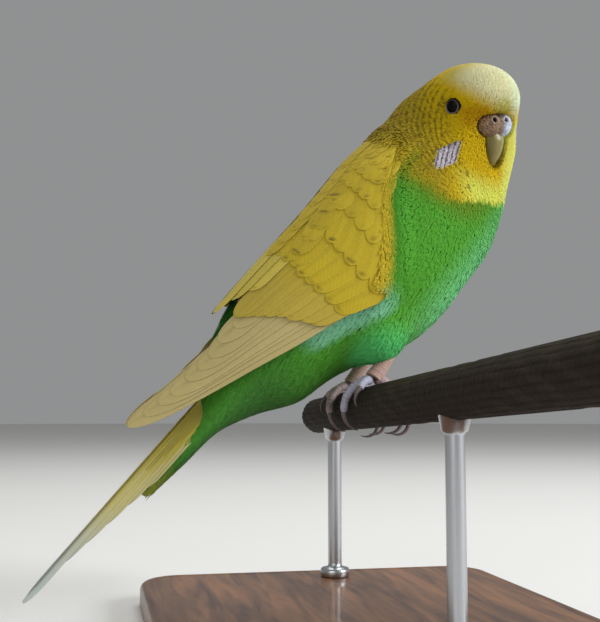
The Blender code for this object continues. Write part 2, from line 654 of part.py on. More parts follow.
def main():
    for old in list(bpy.data.objects):
        bpy.data.objects.remove(old)
    yellow = material("wing yellow", (0.62, 0.56, 0.16), 0.8)
    green = material("breast green", (0.16, 0.5, 0.18), 0.85)
    face = material("face yellow", (0.85, 0.72, 0.12), 0.85)
    pale = material("tail pale green", (0.62, 0.75, 0.55), 0.8)
    torso, neck = make_body(green)
    make_head(face, material("eye", (0.01, 0.01, 0.012), 0.1), material("cere", (0.36, 0.24, 0.18), 0.7),
              material("horn", (0.5, 0.5, 0.28), 0.4))
    for side in (-1, 1):
        make_wing(side, inflated_body(), yellow)
    make_tail(inflated_body(), pale)
    skin = material("foot", (0.6, 0.45, 0.4), 0.6)
    for name, foot_y in FEET_Y.items():
        make_leg(name, foot_y, skin)
        combine(torso, [leg_room(foot_y)], "DIFFERENCE")
    combine(neck, bill_room(), "DIFFERENCE")
    perch_solid("perch", PERCH_RADIUS, material("dark wood", (0.05, 0.045, 0.035), 0.6))
    steel = material("steel", (0.6, 0.6, 0.62), 0.35, 1.0)
    make_stand(material("stand wood", (0.16, 0.08, 0.04), 0.5), steel)
    for name in ("torso", "neck", "wing_left", "wing_right", "tail", "leg_left", "leg_right"):
        keep_largest(bpy.data.objects[name])


main()
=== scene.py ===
import math

import bpy
import numpy as np
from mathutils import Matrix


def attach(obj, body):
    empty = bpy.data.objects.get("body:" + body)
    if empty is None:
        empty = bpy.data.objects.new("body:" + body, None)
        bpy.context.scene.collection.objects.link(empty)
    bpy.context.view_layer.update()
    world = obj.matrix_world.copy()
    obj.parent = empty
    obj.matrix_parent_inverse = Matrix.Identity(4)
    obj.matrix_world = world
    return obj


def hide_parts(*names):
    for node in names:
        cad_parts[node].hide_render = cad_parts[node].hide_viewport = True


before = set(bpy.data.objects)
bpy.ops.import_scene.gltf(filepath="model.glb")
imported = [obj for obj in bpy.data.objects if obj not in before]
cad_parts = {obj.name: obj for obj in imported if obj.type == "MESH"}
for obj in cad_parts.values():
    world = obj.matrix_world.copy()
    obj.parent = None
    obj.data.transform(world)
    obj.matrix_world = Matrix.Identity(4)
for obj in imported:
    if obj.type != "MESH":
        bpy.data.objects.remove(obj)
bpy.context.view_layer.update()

# Museum-style budgerigar on a cut perch. Every length below is in millimetres, in the grip
# frame: origin near the perch's axis between the feet, +X where the body faces, +Y to the
# bird's left along the perch, +Z up. addMesh turns it into metres on the stand.
millimetre = 0.001
perchHeight = 55.0
bodyTilt = math.radians(48.0)
along = np.array([math.cos(bodyTilt), 0.0, math.sin(bodyTilt)])  # tail to nape
dorsal = np.array([-along[2], 0.0, along[0]])  # belly to back
yAxis = np.array([0.0, 1.0, 0.0])
fullTurn = 2 * math.pi


def ease(low, high, x):
    # 3t^2 - 2t^3 with t the place of x between low and high, held at the ends
    t = np.clip((np.asarray(x, float) - low) / (high - low), 0.0, 1.0)
    return t * t * (3 - 2 * t)


def smoothCurve(x, xs, ys):
    # cubic Hermite through the points, each slope taken from its neighbours
    slopes = np.gradient(ys, xs)
    x = np.clip(x, xs[0], xs[-1])
    i = np.clip(np.searchsorted(xs, x) - 1, 0, len(xs) - 2)
    step = xs[i + 1] - xs[i]
    t = (x - xs[i]) / step
    near = (2 * t**3 - 3 * t**2 + 1) * ys[i] + (t**3 - 2 * t**2 + t) * step * slopes[i]
    return near + (3 * t**2 - 2 * t**3) * ys[i + 1] + (t**3 - t**2) * step * slopes[i + 1]


def columnsAt(table, x):
    # the same cubic through each column of the table over its first one
    return [smoothCurve(x, table[:, 0], column) for column in table.T[1:]]


def curveThrough(points, count):
    # the same cubic, carried through points in space by their distance along the path
    points = np.asarray(points, float)
    run = np.concatenate([[0.0], np.cumsum(np.linalg.norm(np.diff(points, axis=0), axis=1))])
    at = np.linspace(0.0, run[-1], count)
    return np.stack([smoothCurve(at, run, column) for column in points.T], 1)


def circle(count):
    # angles of a full turn in equal steps
    return np.linspace(0, fullTurn, count, endpoint=False)


def bell(x, width):
    # exp(-(x / width)^2)
    return np.exp(-((x / width) ** 2))


def size(v):
    # length of each vector
    return np.linalg.norm(v, axis=-1)


def unit(v):
    # each vector over its length
    v = np.asarray(v, float)
    return v / np.maximum(np.linalg.norm(v, axis=-1, keepdims=True), 1e-9)


def onSide(place, side):
    # the left side's place, mirrored to the right where side is -1
    return np.multiply(place, (1, side, 1))


def sideName(side):
    # side is 1 for the bird's left and -1 for its right
    return "Left" if side > 0 else "Right"


def bodyToGrip(s, y, n):
    # s along the body, y to the left and n towards the back, as a place
    s, y, n = np.broadcast_arrays(*(np.asarray(a, float) for a in (s, y, n)))
    return s[..., None] * along + n[..., None] * dorsal + y[..., None] * yAxis


def gripToBody(points):
    # and the other way round
    return points @ along, points[..., 1], points @ dorsal


def linear(*colour):
    # sRGB 0..255 to linear light: ((c + 0.055) / 1.055) ^ 2.4
    c = np.array(colour, float) / 255
    return np.where(c < 0.04, c / 12.92, ((c + 0.055) / 1.055) ** 2.4)


def palette(**colours):
    # a dictionary of colours, each by the formula above
    return {name: linear(*colour) for name, colour in colours.items()}


def mix(a, b, weight):
    # a (1 - weight) + b weight
    weight = np.asarray(weight, float)[..., None]
    return np.asarray(a) * (1 - weight) + np.asarray(b) * weight


def layered(colour, *coats):
    # (colour, weight) pairs, each mixed over all that came before it
    for over, weight in coats:
        colour = mix(colour, over, weight)
    return colour


# Body outline

body = {
    # s, dorsal n, ventral n, half width
    "sections": np.array([
        (-54.0, 30.4, 27.0, 2.6), (-42.0, 31.0, 26.0, 5.0), (-29.0, 31.8, 24.8, 7.2),
        (-20.0, 36.5, 20.8, 9.6), (-10.0, 41.0, 14.6, 12.6), (0.0, 43.6, 12.2, 15.4),
        (11.0, 44.8, 7.8, 17.8), (22.0, 45.2, 2.5, 19.2), (32.0, 45.4, 0.9, 19.6),
        (45.0, 45.8, 1.6, 19.2), (55.0, 46.6, 2.3, 17.8), (65.0, 47.5, 5.6, 15.2),
        (73.0, 47.5, 9.8, 12.4), (80.0, 44.0, 15.0, 10.4), (88.0, 36.0, 22.0, 6.0),
    ]),
    "thighCentre": (1.2, 10.0, 19.4),
    "thighRadii": (7.6, 7.0, 7.2),
    "thighJoin": 5.0,
    "headCentre": np.array([29.9, -8.0, 83.4]),
    "headTurn": (-70.0, -21.0, 8.0),  # yaw, pitch, roll in degrees
    # centre and radii forward, left, up from between the eyes, and softness of the join
    "headBlobs": (
        ((-1.5, 0.0, -0.4), (11.9, 12.0, 10.7), 0.0), ((4.5, 0.0, 1.8), (8.2, 9.2, 7.8), 4.0),
        ((3.5, 4.4, -8.5), (6.6, 5.4, 7.4), 5.0), ((3.5, -4.4, -8.5), (6.6, 5.4, 7.4), 5.0),
        ((0.5, 0.0, -13.5), (8.4, 8.8, 9.0), 6.0),
    ),
    "headJoin": 7.0,
    "skinDepth": 0.8,  # skin below the outline of the plumage
}


def headAxes(yaw, pitch, roll):
    # forward from yaw and pitch, then left and up turned about it by roll
    yaw, pitch, roll = (math.radians(a) for a in (yaw, pitch, roll))
    level = np.array([-math.sin(yaw), math.cos(yaw), 0.0])
    flat = math.cos(pitch)
    forward = np.array([flat * math.cos(yaw), flat * math.sin(yaw), math.sin(pitch)])
    left = math.cos(roll) * level + math.sin(roll) * np.cross(forward, level)
    return np.stack([forward, left, np.cross(forward, left)])


headFrame = headAxes(*body["headTurn"])


def headToGrip(points):
    # centre + place, with the place in forward, left and up
    return body["headCentre"] + np.asarray(points, float) @ headFrame


def gripToHead(points):
    # and the other way round
    return (np.asarray(points) - body["headCentre"]) @ headFrame.T


def blendDistance(a, b, width):
    # smooth minimum: the two distances mixed where they differ by less than width
    h = np.clip(0.5 + 0.5 * (b - a) / width, 0.0, 1.0)
    return b * (1 - h) + a * h - width * h * (1 - h)


def ellipsoidDistance(points, centre, radii):
    # k (k - 1) / |q / r^2| with k = |q / r|, close to the true distance near the surface
    q = points - np.array(centre)
    radii = np.array(radii)
    k = size(q / radii)
    return k * (k - 1) / np.maximum(size(q / radii**2), 1e-6)


def bodyDistance(points):
    # elliptical sections along the body, softly joined to the thighs and the head's blobs
    s, y, n = gripToBody(points)
    top, low, width = columnsAt(body["sections"], s)
    half, off = (top - low) / 2, n - (top + low) / 2
    k = np.hypot(y / width, off / half)
    outside = k * (k - 1) / np.maximum(np.hypot(y / width**2, off / half**2), 1e-6)
    outside = np.maximum(outside, s - body["sections"][-1, 0])
    for side in (-1, 1):
        thigh = ellipsoidDistance(points, onSide(body["thighCentre"], side), body["thighRadii"])
        outside = blendDistance(outside, thigh, body["thighJoin"])
    local = gripToHead(points)
    head = None
    for centre, radii, softness in body["headBlobs"]:
        blob = ellipsoidDistance(local, centre, radii)
        head = blob if head is None else blendDistance(head, blob, softness)
    return blendDistance(outside, head, body["headJoin"])


def bodyNormal(points):
    # gradient of the distance by central differences of 0.2 mm
    steps = [bodyDistance(points + 0.2 * e) - bodyDistance(points - 0.2 * e) for e in np.eye(3)]
    return unit(np.stack(steps, -1))


def spineAt(s):
    # middle of the section at s, leaning over to the head's centre above s = 60
    headS, headY, headN = gripToBody(body["headCentre"])
    top, low, _ = columnsAt(body["sections"], s)
    middle = (top + low) / 2
    lean = np.clip((s - 60.0) / (headS - 60.0), 0.0, 1.0) ** 2
    return bodyToGrip(s, lean * headY, middle + lean * (headN - middle))


skinRows, crownRows, skinAround = 130, 34, 96  # rows up to the head's centre and over it


def outlineGrid(inflate):
    # rays square to the body at each s, then fanned over the crown from the head's centre,
    # each followed to where the distance equals inflate
    turn = circle(skinAround)
    side = np.sin(turn)[:, None] * yAxis + np.cos(turn)[:, None] * dorsal
    s = np.linspace(body["sections"][0, 0], body["headCentre"] @ along, skinRows)
    origins = np.repeat(spineAt(s)[:, None], skinAround, 1)
    rays = np.broadcast_to(side, origins.shape)
    lift = np.linspace(0, math.pi / 2, crownRows + 2)[1:-1, None, None]
    crown = np.zeros((crownRows, skinAround, 3)) + body["headCentre"]
    origins = np.concatenate([origins, crown])
    rays = np.concatenate([rays, np.cos(lift) * side + np.sin(lift) * along])
    reach = np.full(origins.shape[:2], 1.0)
    for _ in range(34):
        off = bodyDistance(origins + reach[..., None] * rays) - inflate
        reach = np.maximum(reach - 0.75 * off, 0.1)
    return origins + reach[..., None] * rays


# Meshes

def addMesh(name, points, polygons, uv=None, colour=None, vane=None, smooth=True):
    # points in millimetres and face arrays; uv, colour and vane hold a row for each point
    points = (np.asarray(points, float) + (0.0, 0.0, perchHeight)) * millimetre
    mesh = bpy.data.meshes.new(name)
    mesh.vertices.add(len(points))
    mesh.vertices.foreach_set("co", points.ravel())
    corners = np.concatenate([p.ravel() for p in polygons])
    totals = np.concatenate([np.full(len(p), p.shape[1]) for p in polygons])
    mesh.loops.add(len(corners))
    mesh.loops.foreach_set("vertex_index", corners)
    mesh.polygons.add(len(totals))
    mesh.polygons.foreach_set("loop_start", np.concatenate([[0], np.cumsum(totals)[:-1]]))
    mesh.polygons.foreach_set("loop_total", totals)
    mesh.polygons.foreach_set("use_smooth", np.full(len(totals), smooth))
    mesh.update(calc_edges=True)
    for title, values in (("OFBake", uv), ("vane", vane)):
        if values is not None:
            layer = mesh.uv_layers.new(name=title)
            layer.data.foreach_set("uv", np.asarray(values)[corners].astype(np.float32).ravel())
    if colour is not None:
        layer = mesh.color_attributes.new("plumage", "FLOAT_COLOR", "POINT")
        opaque = np.column_stack([colour, np.ones(len(colour))])
        layer.data.foreach_set("color", opaque.astype(np.float32).ravel())
    piece = bpy.data.objects.new(name, mesh)
    bpy.context.scene.collection.objects.link(piece)
    return piece


def finishPiece(piece, material, slot, *nodes):
    # its material, body and the nodes that it stands for; slot is not used
    piece.data.materials.append(material)
    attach(piece, "root")
    if nodes:
        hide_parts(*nodes)
    print("made", piece.name, len(piece.data.polygons), "faces")
    return piece


def gridQuads(rows, around):
    # quads between rings of points, each ring joined to the next and closed on itself
    row, column = np.mgrid[0:rows - 1, 0:around]
    after = (column + 1) % around
    low, high = row * around, (row + 1) * around
    return np.stack([low + column, low + after, high + after, high + column], -1).reshape(-1, 4)


def closedTubes(rings, start=None, end=None):
    # tubes (count, rows, around, 3): quads between rings, both ends closed by a fan to a
    # point, which is the middle of the end ring unless it is given
    count, rows, around = rings.shape[:3]
    start = rings[:, 0].mean(1) if start is None else np.reshape(start, (count, 3))
    end = rings[:, -1].mean(1) if end is None else np.reshape(end, (count, 3))
    c = np.arange(around)
    nextOne, last, total = (c + 1) % around, (rows - 1) * around, rows * around
    fans = np.concatenate([
        np.stack([nextOne, c, np.full(around, total)], 1),
        np.stack([last + c, last + nextOne, np.full(around, total + 1)], 1),
    ])
    points = np.concatenate([rings.reshape(count, -1, 3), start[:, None], end[:, None]], 1)
    points = points.reshape(-1, 3)
    step = (np.arange(count) * (total + 2))[:, None, None]
    sides = gridQuads(rows, around)[None] + step
    polygons = [sides.reshape(-1, 4), (fans[None] + step).reshape(-1, 3)]
    # the volume inside must be positive, or every face is turned round
    volume = 0.0
    for p in polygons:
        for k in range(1, p.shape[1] - 1):
            a, b, c = (points[p[:, corner]] - points[0] for corner in (0, k, k + 1))
            volume += np.einsum("ij,ij->", a, np.cross(b, c))
    return points, [p[:, ::-1] for p in polygons] if volume < 0 else polygons


def withEnds(values):
    # values (count, rows, around, k) for the ring points, with each end's mean appended
    count, width = values.shape[0], values.shape[-1]
    ends = [values[:, 0].mean(1)[:, None], values[:, -1].mean(1)[:, None]]
    return np.concatenate([values.reshape(count, -1, width), *ends], 1).reshape(-1, width)


def addRings(name, ring, u, v, colour):
    # one closed tube (rows, around, 3), mapped by u round it and v along it
    points, polygons = closedTubes(ring[None])
    uv = np.stack(np.broadcast_arrays(u, v), -1)
    return addMesh(name, points, polygons, withEnds(uv[None]), withEnds(colour[None]))


def withMap(ring, colour):
    # the same as a set for joined or addMesh, with a map of equal steps both ways
    rows, around = ring.shape[:2]
    v, u = np.meshgrid(np.linspace(0, 1, rows), np.linspace(0, 1, around), indexing="ij")
    points, polygons = closedTubes(ring[None])
    colour = np.broadcast_to(colour, ring.shape)
    return points, polygons, withEnds(np.stack([u, v], -1)[None]), withEnds(colour[None]), None


def joined(parts):
    # several (points, polygons, uv, colour, vane) sets as one
    shift, points, polygons = 0, [], []
    for part in parts:
        points.append(part[0])
        polygons += [p + shift for p in part[1]]
        shift += len(part[0])
    rest = [None if column[0] is None else np.concatenate(column) for column in list(zip(*parts))[2:]]
    return [np.concatenate(points), polygons, *rest]


# Materials

def nodeIn(tree, kind, inputs=None, **settings):
    # a shader node: sockets among the inputs are linked, other values are set
    node = tree.nodes.new("ShaderNode" + kind)
    for key, value in settings.items():
        setattr(node, key, value)
    for key, value in (inputs or {}).items():
        if isinstance(value, bpy.types.NodeSocket):
            tree.links.new(value, node.inputs[key])
        else:
            node.inputs[key].default_value = value
    return node


def calculate(tree, operation, *values):
    # one step of arithmetic on sockets or numbers
    return nodeIn(tree, "Math", dict(enumerate(values)), operation=operation).outputs[0]


def makeGroup(name, inputs, outputs):
    # an empty node group with its sockets, and its two end nodes
    group = bpy.data.node_groups.new(name, "ShaderNodeTree")
    for title, kind, value in inputs:
        socket = group.interface.new_socket(title, in_out="INPUT", socket_type="NodeSocket" + kind)
        if value is not None:
            socket.default_value = value
    for title, kind in outputs:
        group.interface.new_socket(title, in_out="OUTPUT", socket_type="NodeSocket" + kind)
    return group, group.nodes.new("NodeGroupInput").outputs, group.nodes.new("NodeGroupOutput").inputs


def makeMottle():
    # colour times 1 + amount (noise - 0.5), and the noise itself as a height
    group, given, out = makeGroup(
        "mottle",
        [("Vector", "Vector", None), ("Colour", "Color", (1, 1, 1, 1)),
         ("Scale", "Float", 400.0), ("Amount", "Float", 0.3)],
        [("Colour", "Color"), ("Height", "Float")],
    )
    settings = {"Vector": given["Vector"], "Scale": given["Scale"], "Detail": 4.0, "Roughness": 0.6}
    noise = nodeIn(group, "TexNoise", settings).outputs[0]
    centred = calculate(group, "SUBTRACT", noise, 0.5)
    scaled = calculate(group, "MULTIPLY_ADD", centred, given["Amount"], 1.0)
    tinted = nodeIn(group, "VectorMath", {0: given["Colour"], "Scale": scaled}, operation="SCALE")
    group.links.new(tinted.outputs[0], out["Colour"])
    group.links.new(noise, out["Height"])
    return group


def makeBarbs():
    # fine ridges that run out from the shaft, from the vane's own map:
    # sin of 2 pi count (t - slant |k|)
    group, given, out = makeGroup(
        "barbs",
        [("Map", "Vector", None), ("Count", "Float", 30.0), ("Slant", "Float", 0.25)],
        [("Height", "Float")],
    )
    split = nodeIn(group, "SeparateXYZ", {0: given["Map"]}).outputs
    aside = calculate(group, "ABSOLUTE", calculate(group, "SUBTRACT", split[0], 0.5))
    slanted = calculate(group, "MULTIPLY", aside, given["Slant"])
    place = calculate(group, "SUBTRACT", split[1], slanted)
    turns = calculate(group, "MULTIPLY", given["Count"], fullTurn)
    sine = calculate(group, "SINE", calculate(group, "MULTIPLY", place, turns))
    group.links.new(sine, out["Height"])
    return group


mottleGroup, barbGroup = makeMottle(), makeBarbs()


def newMaterial(name, roughness, sheen=0.0, coat=0.0, metallic=0.0, ior=1.45):
    # a Principled material with its constant values on its own sockets
    made = bpy.data.materials.new(name)
    made.use_nodes = True
    tree = made.node_tree
    shader = tree.nodes["Principled BSDF"]
    values = {
        "Roughness": roughness, "Sheen Weight": sheen, "Sheen Roughness": 0.5,
        "Coat Weight": coat, "Coat Roughness": 0.1, "Metallic": metallic, "IOR": ior,
    }
    for key, value in values.items():
        shader.inputs[key].default_value = value
    place = nodeIn(tree, "TexCoord").outputs["Object"]
    return made, tree, shader, place


def mottled(tree, shader, place, colour, scale, amount):
    # the mottle's colour goes to the shader, and its height is returned
    given = {"Vector": place, "Colour": colour, "Scale": scale, "Amount": amount}
    group = nodeIn(tree, "Group", given, node_tree=mottleGroup)
    tree.links.new(group.outputs["Colour"], shader.inputs["Base Color"])
    return group.outputs["Height"]


def bumped(tree, shader, height, strength, distance, below=None):
    # turns the shader's normal by the height, over another bump where one is given
    inputs = {"Height": height, "Strength": strength, "Distance": distance}
    if below is not None:
        inputs["Normal"] = below
    bump = nodeIn(tree, "Bump", inputs)
    tree.links.new(bump.outputs[0], shader.inputs["Normal"])
    return bump.outputs[0]


barbStrength, barbDepth = 0.14, 0.00006


def paintedMaterial(name, roughness, scale, amount, bump=0.3, deep=0.0001, barbs=0.0, **shading):
    # the piece's own colours, mottled, with a fine bump and on vanes the barbs
    made, tree, shader, place = newMaterial(name, roughness, **shading)
    painted = nodeIn(tree, "Attribute", attribute_name="plumage").outputs["Color"]
    height = mottled(tree, shader, place, painted, scale, amount)
    normal = bumped(tree, shader, height, bump, deep)
    if barbs:
        vaneMap = nodeIn(tree, "UVMap", uv_map="vane").outputs[0]
        group = nodeIn(tree, "Group", {"Map": vaneMap, "Count": barbs}, node_tree=barbGroup)
        bumped(tree, shader, group.outputs["Height"], barbStrength, barbDepth, normal)
    return made


materials = {
    # roughness, and scale and amount of the mottle
    "down": paintedMaterial("soft plumage", 0.9, 1400.0, 0.2, sheen=0.01, ior=1.25),
    "skin": paintedMaterial("under plumage", 0.9, 900.0, 0.35),
    "vane": paintedMaterial("flight feather", 0.75, 700.0, 0.14, barbs=38.0, sheen=0.02, ior=1.35),
    "covert": paintedMaterial("covert feather", 0.82, 900.0, 0.16, barbs=16.0, sheen=0.02, ior=1.3),
    "horn": paintedMaterial("horn", 0.4, 500.0, 0.35, bump=0.4, deep=0.0002, coat=0.1),
    "cere": paintedMaterial("crusted cere", 0.62, 1500.0, 0.45, bump=0.7, deep=0.0003),
    "foot": paintedMaterial("scaly foot", 0.55, 1200.0, 0.35, bump=0.5, deep=0.0002),
    "lid": paintedMaterial("bare lid", 0.5, 1500.0, 0.3, bump=0.4),
    "eye": paintedMaterial("wet eye", 0.2, 300.0, 0.1, bump=0.0, ior=1.16),
    "bark": paintedMaterial("dark bark", 0.85, 500.0, 0.55, bump=0.8, deep=0.0005, ior=1.3),
}


wing = {
    # s, dorsal n, lower edge n, n where it is widest, half width there
    "shell": np.array([
        (-43.8, 44.8, 42.6, 42.4, 3.8), (-34.5, 46.0, 37.9, 37.7, 6.9), (-25.0, 45.9, 33.7, 33.5, 10.2),
        (-9.5, 45.6, 28.3, 28.0, 15.2), (6.0, 46.2, 23.2, 23.2, 18.8), (14.0, 46.5, 20.5, 21.0, 20.3),
        (23.0, 46.7, 17.6, 19.5, 21.2), (30.6, 46.9, 22.5, 19.5, 21.5), (36.4, 47.1, 27.5, 19.5, 21.4),
        (42.3, 47.5, 32.7, 20.0, 21.4), (49.3, 47.9, 37.4, 21.0, 20.9), (57.0, 48.2, 41.8, 22.5, 19.6),
        (61.0, 48.2, 44.6, 23.5, 18.8),
    ]),
    "reach": (-34.0, 58.0),  # s between which it hides the body's own plumage
    "thickness": 0.1, "shaft": 0.04,
    "frontSwell": 1.3,  # mm that the breast rises where it meets the wing's front
    "rumpSwell": 2.2,  # mm that the rump rises between the wings
    "edgeDip": 0.9,  # mm that the coverts sink towards the lower front edge
    "shoulderDip": 1.3,  # and towards the shoulder
}


def underWing(points):
    # millimetres inside the folded wing's edges, negative outside them
    s, y, n = gripToBody(points)
    top, low, middle, width = columnsAt(wing["shell"], s)
    angle = np.arctan2(np.abs(y) / width, (n - middle) / (top - middle))
    drop = np.arccos(np.clip((low - middle) / (top - middle), -1, 1))
    back, front = wing["reach"]
    return np.minimum(np.minimum((drop - angle) * width, s - back), front - s)


# Markings, shared by skin and plumage

plumage = {
    **palette(
        # the two whitish brow colours here are painted highlight, the bluer one for the left side that
        # faces the key lamp
        crown=(186, 172, 84), forehead=(208, 204, 158), mint=(204, 214, 178), browSpot=(178, 182, 48),
        lores=(178, 132, 3), cheek=(202, 170, 6), rearCheek=(182, 156, 14), nape=(158, 136, 22),
        # the throat's rim colour is painted rim light on the chin's left side
        throat=(196, 164, 6), throatRim=(196, 204, 100), bib=(200, 202, 80), bar=(66, 58, 14),
        patch=(190, 182, 194), patchDark=(58, 54, 66), spot=(70, 62, 22), neckGreen=(98, 112, 6),
        # the paler breast colour here is painted highlight on the front of the breast
        breast=(74, 146, 42), breastLight=(108, 190, 124), belly=(68, 128, 38), vent=(62, 116, 50),
        # the pale flank colour here is painted highlight below the wing's lower edge
        thigh=(74, 178, 100), flankPale=(124, 190, 152), rump=(44, 112, 28), mantle=(188, 164, 34),
        tailYellow=(164, 154, 56),
    ),
    "barSpacing": 1.5,  # mm between the fine bars behind the face
    "bibReach": 29.0,  # mm from the head's centre to the green
    # cheek patch: place, direction across it and down its feathers, half width and half length
    "patchPlace": (9.3, -14.4, -12.4),
    "patchAcross": (0.505, 0.833, -0.227), "patchDown": (0.628, 0.138, -0.766),
    "patchSize": (2.9, 3.1),
    "shaftSpacing": 1.2,  # mm between the patch's dark shafts
    "throatSpots": ((13.2, 10.2, -16.9), (12.5, 13.2, -14.6), (14.6, 10.6, -20.4)),
}
billBase = np.array([10.0, 0.0, -5.0])


def onOutline(place):
    # from the head's centre through the place, out to where the outline's distance is nil
    ray = headToGrip(place) - body["headCentre"]
    points = body["headCentre"] + np.linspace(0.3, 3.0, 400)[:, None] * ray
    return gripToHead(points[np.argmax(bodyDistance(points) > 0)])


# the right cheek's patch and the left's, the latter mirrored to the right
leftPatch = onOutline(onSide(plumage["patchPlace"], -1))
patchPlaces = [onOutline(plumage["patchPlace"]), onSide(leftPatch, -1)]
print("cheek patches at", np.round(patchPlaces, 1).tolist())


def waves(distance, spacing):
    # 0 to 1 and back once in each spacing
    return 0.5 + 0.5 * np.cos(fullTurn * distance / spacing)


def cheekPatch(f, l, u):
    # narrow pale feathers with dark shafts: their colour and weight, alike on both sides
    c = plumage
    width, height = c["patchSize"]
    mirrored = np.stack([f, -np.abs(l), u], -1)
    q = mirrored - np.where(l[..., None] > 0, patchPlaces[1], patchPlaces[0])
    across, down = q @ unit(c["patchAcross"]), q @ unit(c["patchDown"])
    teeth = 0.5 * np.abs(np.sin(math.pi * across / c["shaftSpacing"])) * ease(0, 2, down)
    inside = ease(1.05, 0.85, np.abs(across) / width)
    inside = inside * ease(1.1, 0.9, (np.abs(down + 0.1 * across) + 0.5 - teeth) / height)
    inside = inside * ease(3.0, 1.5, size(q) - height)
    shafts = ease(0.62, 0.95, waves(across, c["shaftSpacing"]))
    dark = np.clip(0.9 * shafts + 0.85 * ease(-1.4, -3.4, down), 0, 1)
    return mix(c["patch"], c["patchDark"], dark), 0.95 * inside


def plumageColour(points):
    # smooth masks in body (s, y, n) and head (forward, left, up) coordinates, one over another
    c = plumage
    s, y, n = gripToBody(points)
    local = gripToHead(points)
    f, l, u = np.moveaxis(local, -1, 0)
    side = np.abs(l)
    reach = size(local)
    wobble = 0.8 * np.sin(0.9 * y + 0.5 * n) + 0.5 * np.sin(1.7 * n - 1.1 * y)
    wobble = wobble + 0.4 * np.sin(2.9 * s + 2.3 * y)
    # body
    thigh = size(points - np.array([1.2, 0, 16.0]) - np.sign(y)[..., None] * (0, 10, 0))
    # painted highlight: a pale blue-green patch on the flank just below the wing's lower edge
    flank = ease(-5.0, -2.0, underWing(points)) * ease(-4, 3, s) * ease(27, 17, s)
    green = layered(
        c["breast"],
        # painted highlight: paler and bluer over the front of the breast
        (c["breastLight"], ease(13, 0, n) * ease(12, 34, s)),
        (c["neckGreen"], 0.75 * ease(40, 31, reach) * ease(8, 18, n)),
        (c["belly"], ease(22, 2, s) * ease(22, 6, n) * 0.9),
        (c["vent"], ease(2, -20, s) * ease(34, 24, n)),
        (c["tailYellow"], 0.6 * ease(-42, -54, s)),
        (c["thigh"], 0.8 * ease(11, 6, thigh)),
        (c["rump"], ease(34, 40, n) * ease(10, 2, s)),
        (c["flankPale"], 0.9 * flank),
        (c["mantle"], ease(35, 40, n) * ease(4, 10, s)),
    )
    # head
    behind = np.hypot(l, np.minimum(f, 0))
    napeReach = np.hypot(l, np.minimum(f - 4, 0))
    top = ease(2.0, 7.5, u - 0.3 * (side - 5))
    # painted highlight: a pale, whitish layer over the brow and crown top, whitest and reaching lowest
    # on the left side, which faces the key lamp; nearer holds it back on the shaded right side
    nearer = 0.35 * side * (1 - 0.8 * ease(0, 4, l)) - 3.0 * ease(1, 6, l) * ease(-6, -2, u)
    pale = ease(0.5, 6.5, u + 0.25 * f - nearer) * ease(-2, 6, f)
    lores = ease(4.5, 6.5, f) * ease(4.2, 1.2, np.abs(u + 2.2))
    lores = lores * ease(3.6, 5.5, side) * ease(11, 9, side)
    away = size(local - billBase)
    bars = ease(0.45, 0.95, waves(away + 0.25 * wobble, c["barSpacing"]))
    broken = ease(-0.5, 0.4, np.sin(3.1 * u + 1.3 * away) + 0.6 * np.sin(2.3 * f - 1.7 * u))
    barred = ease(9.5, 12.5, behind) * ease(12.0, 8.0, u - 0.3 * side) * ease(12, 15, away)
    barred = barred * ease(34, 28, reach) * ease(-20, -14, u)
    head = layered(
        c["cheek"],
        (c["rearCheek"], ease(8.0, 14.0, behind)),
        (c["nape"], ease(14, 19, napeReach) * ease(10, 4, u)),
        (c["throat"], ease(-9, -13, u) * ease(12, 8, side)),
        (c["bib"], ease(21, 27, reach) * ease(-6, -14, u) * ease(16, 8, side)),
        (c["crown"], top * ease(-7, 0, f)),
        # painted highlight on the brow and crown top, whiter towards the left side
        (mix(c["forehead"], c["mint"], ease(-1, 7, l)), pale),
        (c["browSpot"], 0.8 * ease(4.2, 1.2, size(local - (10.5, 0.0, 1.0)))),
        (c["lores"], lores * (0.2 + 0.6 * ease(2, -3, l))),
        # painted rim light along the left side of the chin and throat
        (c["throatRim"], 0.75 * ease(1, 6, l) * ease(-1, -6, u) * ease(-4, 2, f)),
        (c["bar"], 0.7 * bars * barred * (0.5 + 0.5 * broken)),
    )
    # where the head's colours end
    boundary = c["bibReach"] + 3.6 * ease(3, 18, side) + 0.6 * wobble
    boundary = boundary - 7.0 * ease(12, 22, side) * ease(-19, -10, u)
    soft = 0.9 + 2.4 * ease(14, 21, side)
    upNape = ease(36.5, 41.0, n + 0.5 * wobble) * ease(44, 50, s)
    mantle = ease(36.5, 41.0, n) * ease(60, 50, s) * ease(38, 46, s)
    colour = layered(
        green,
        (head, np.maximum(ease(1, -1, (reach - boundary) / soft), upNape)),
        (c["mantle"], mantle),
        (c["bar"], 0.5 * mantle * bars * broken),
        cheekPatch(f, l, u),
    )
    for spot in c["throatSpots"]:
        gap = size((np.stack([f, side, u], -1) - spot) * (1, 1.6, 0.8))
        colour = mix(colour, c["spot"], 0.6 * ease(1.2, 0.5, gap))
    return colour


# Skin

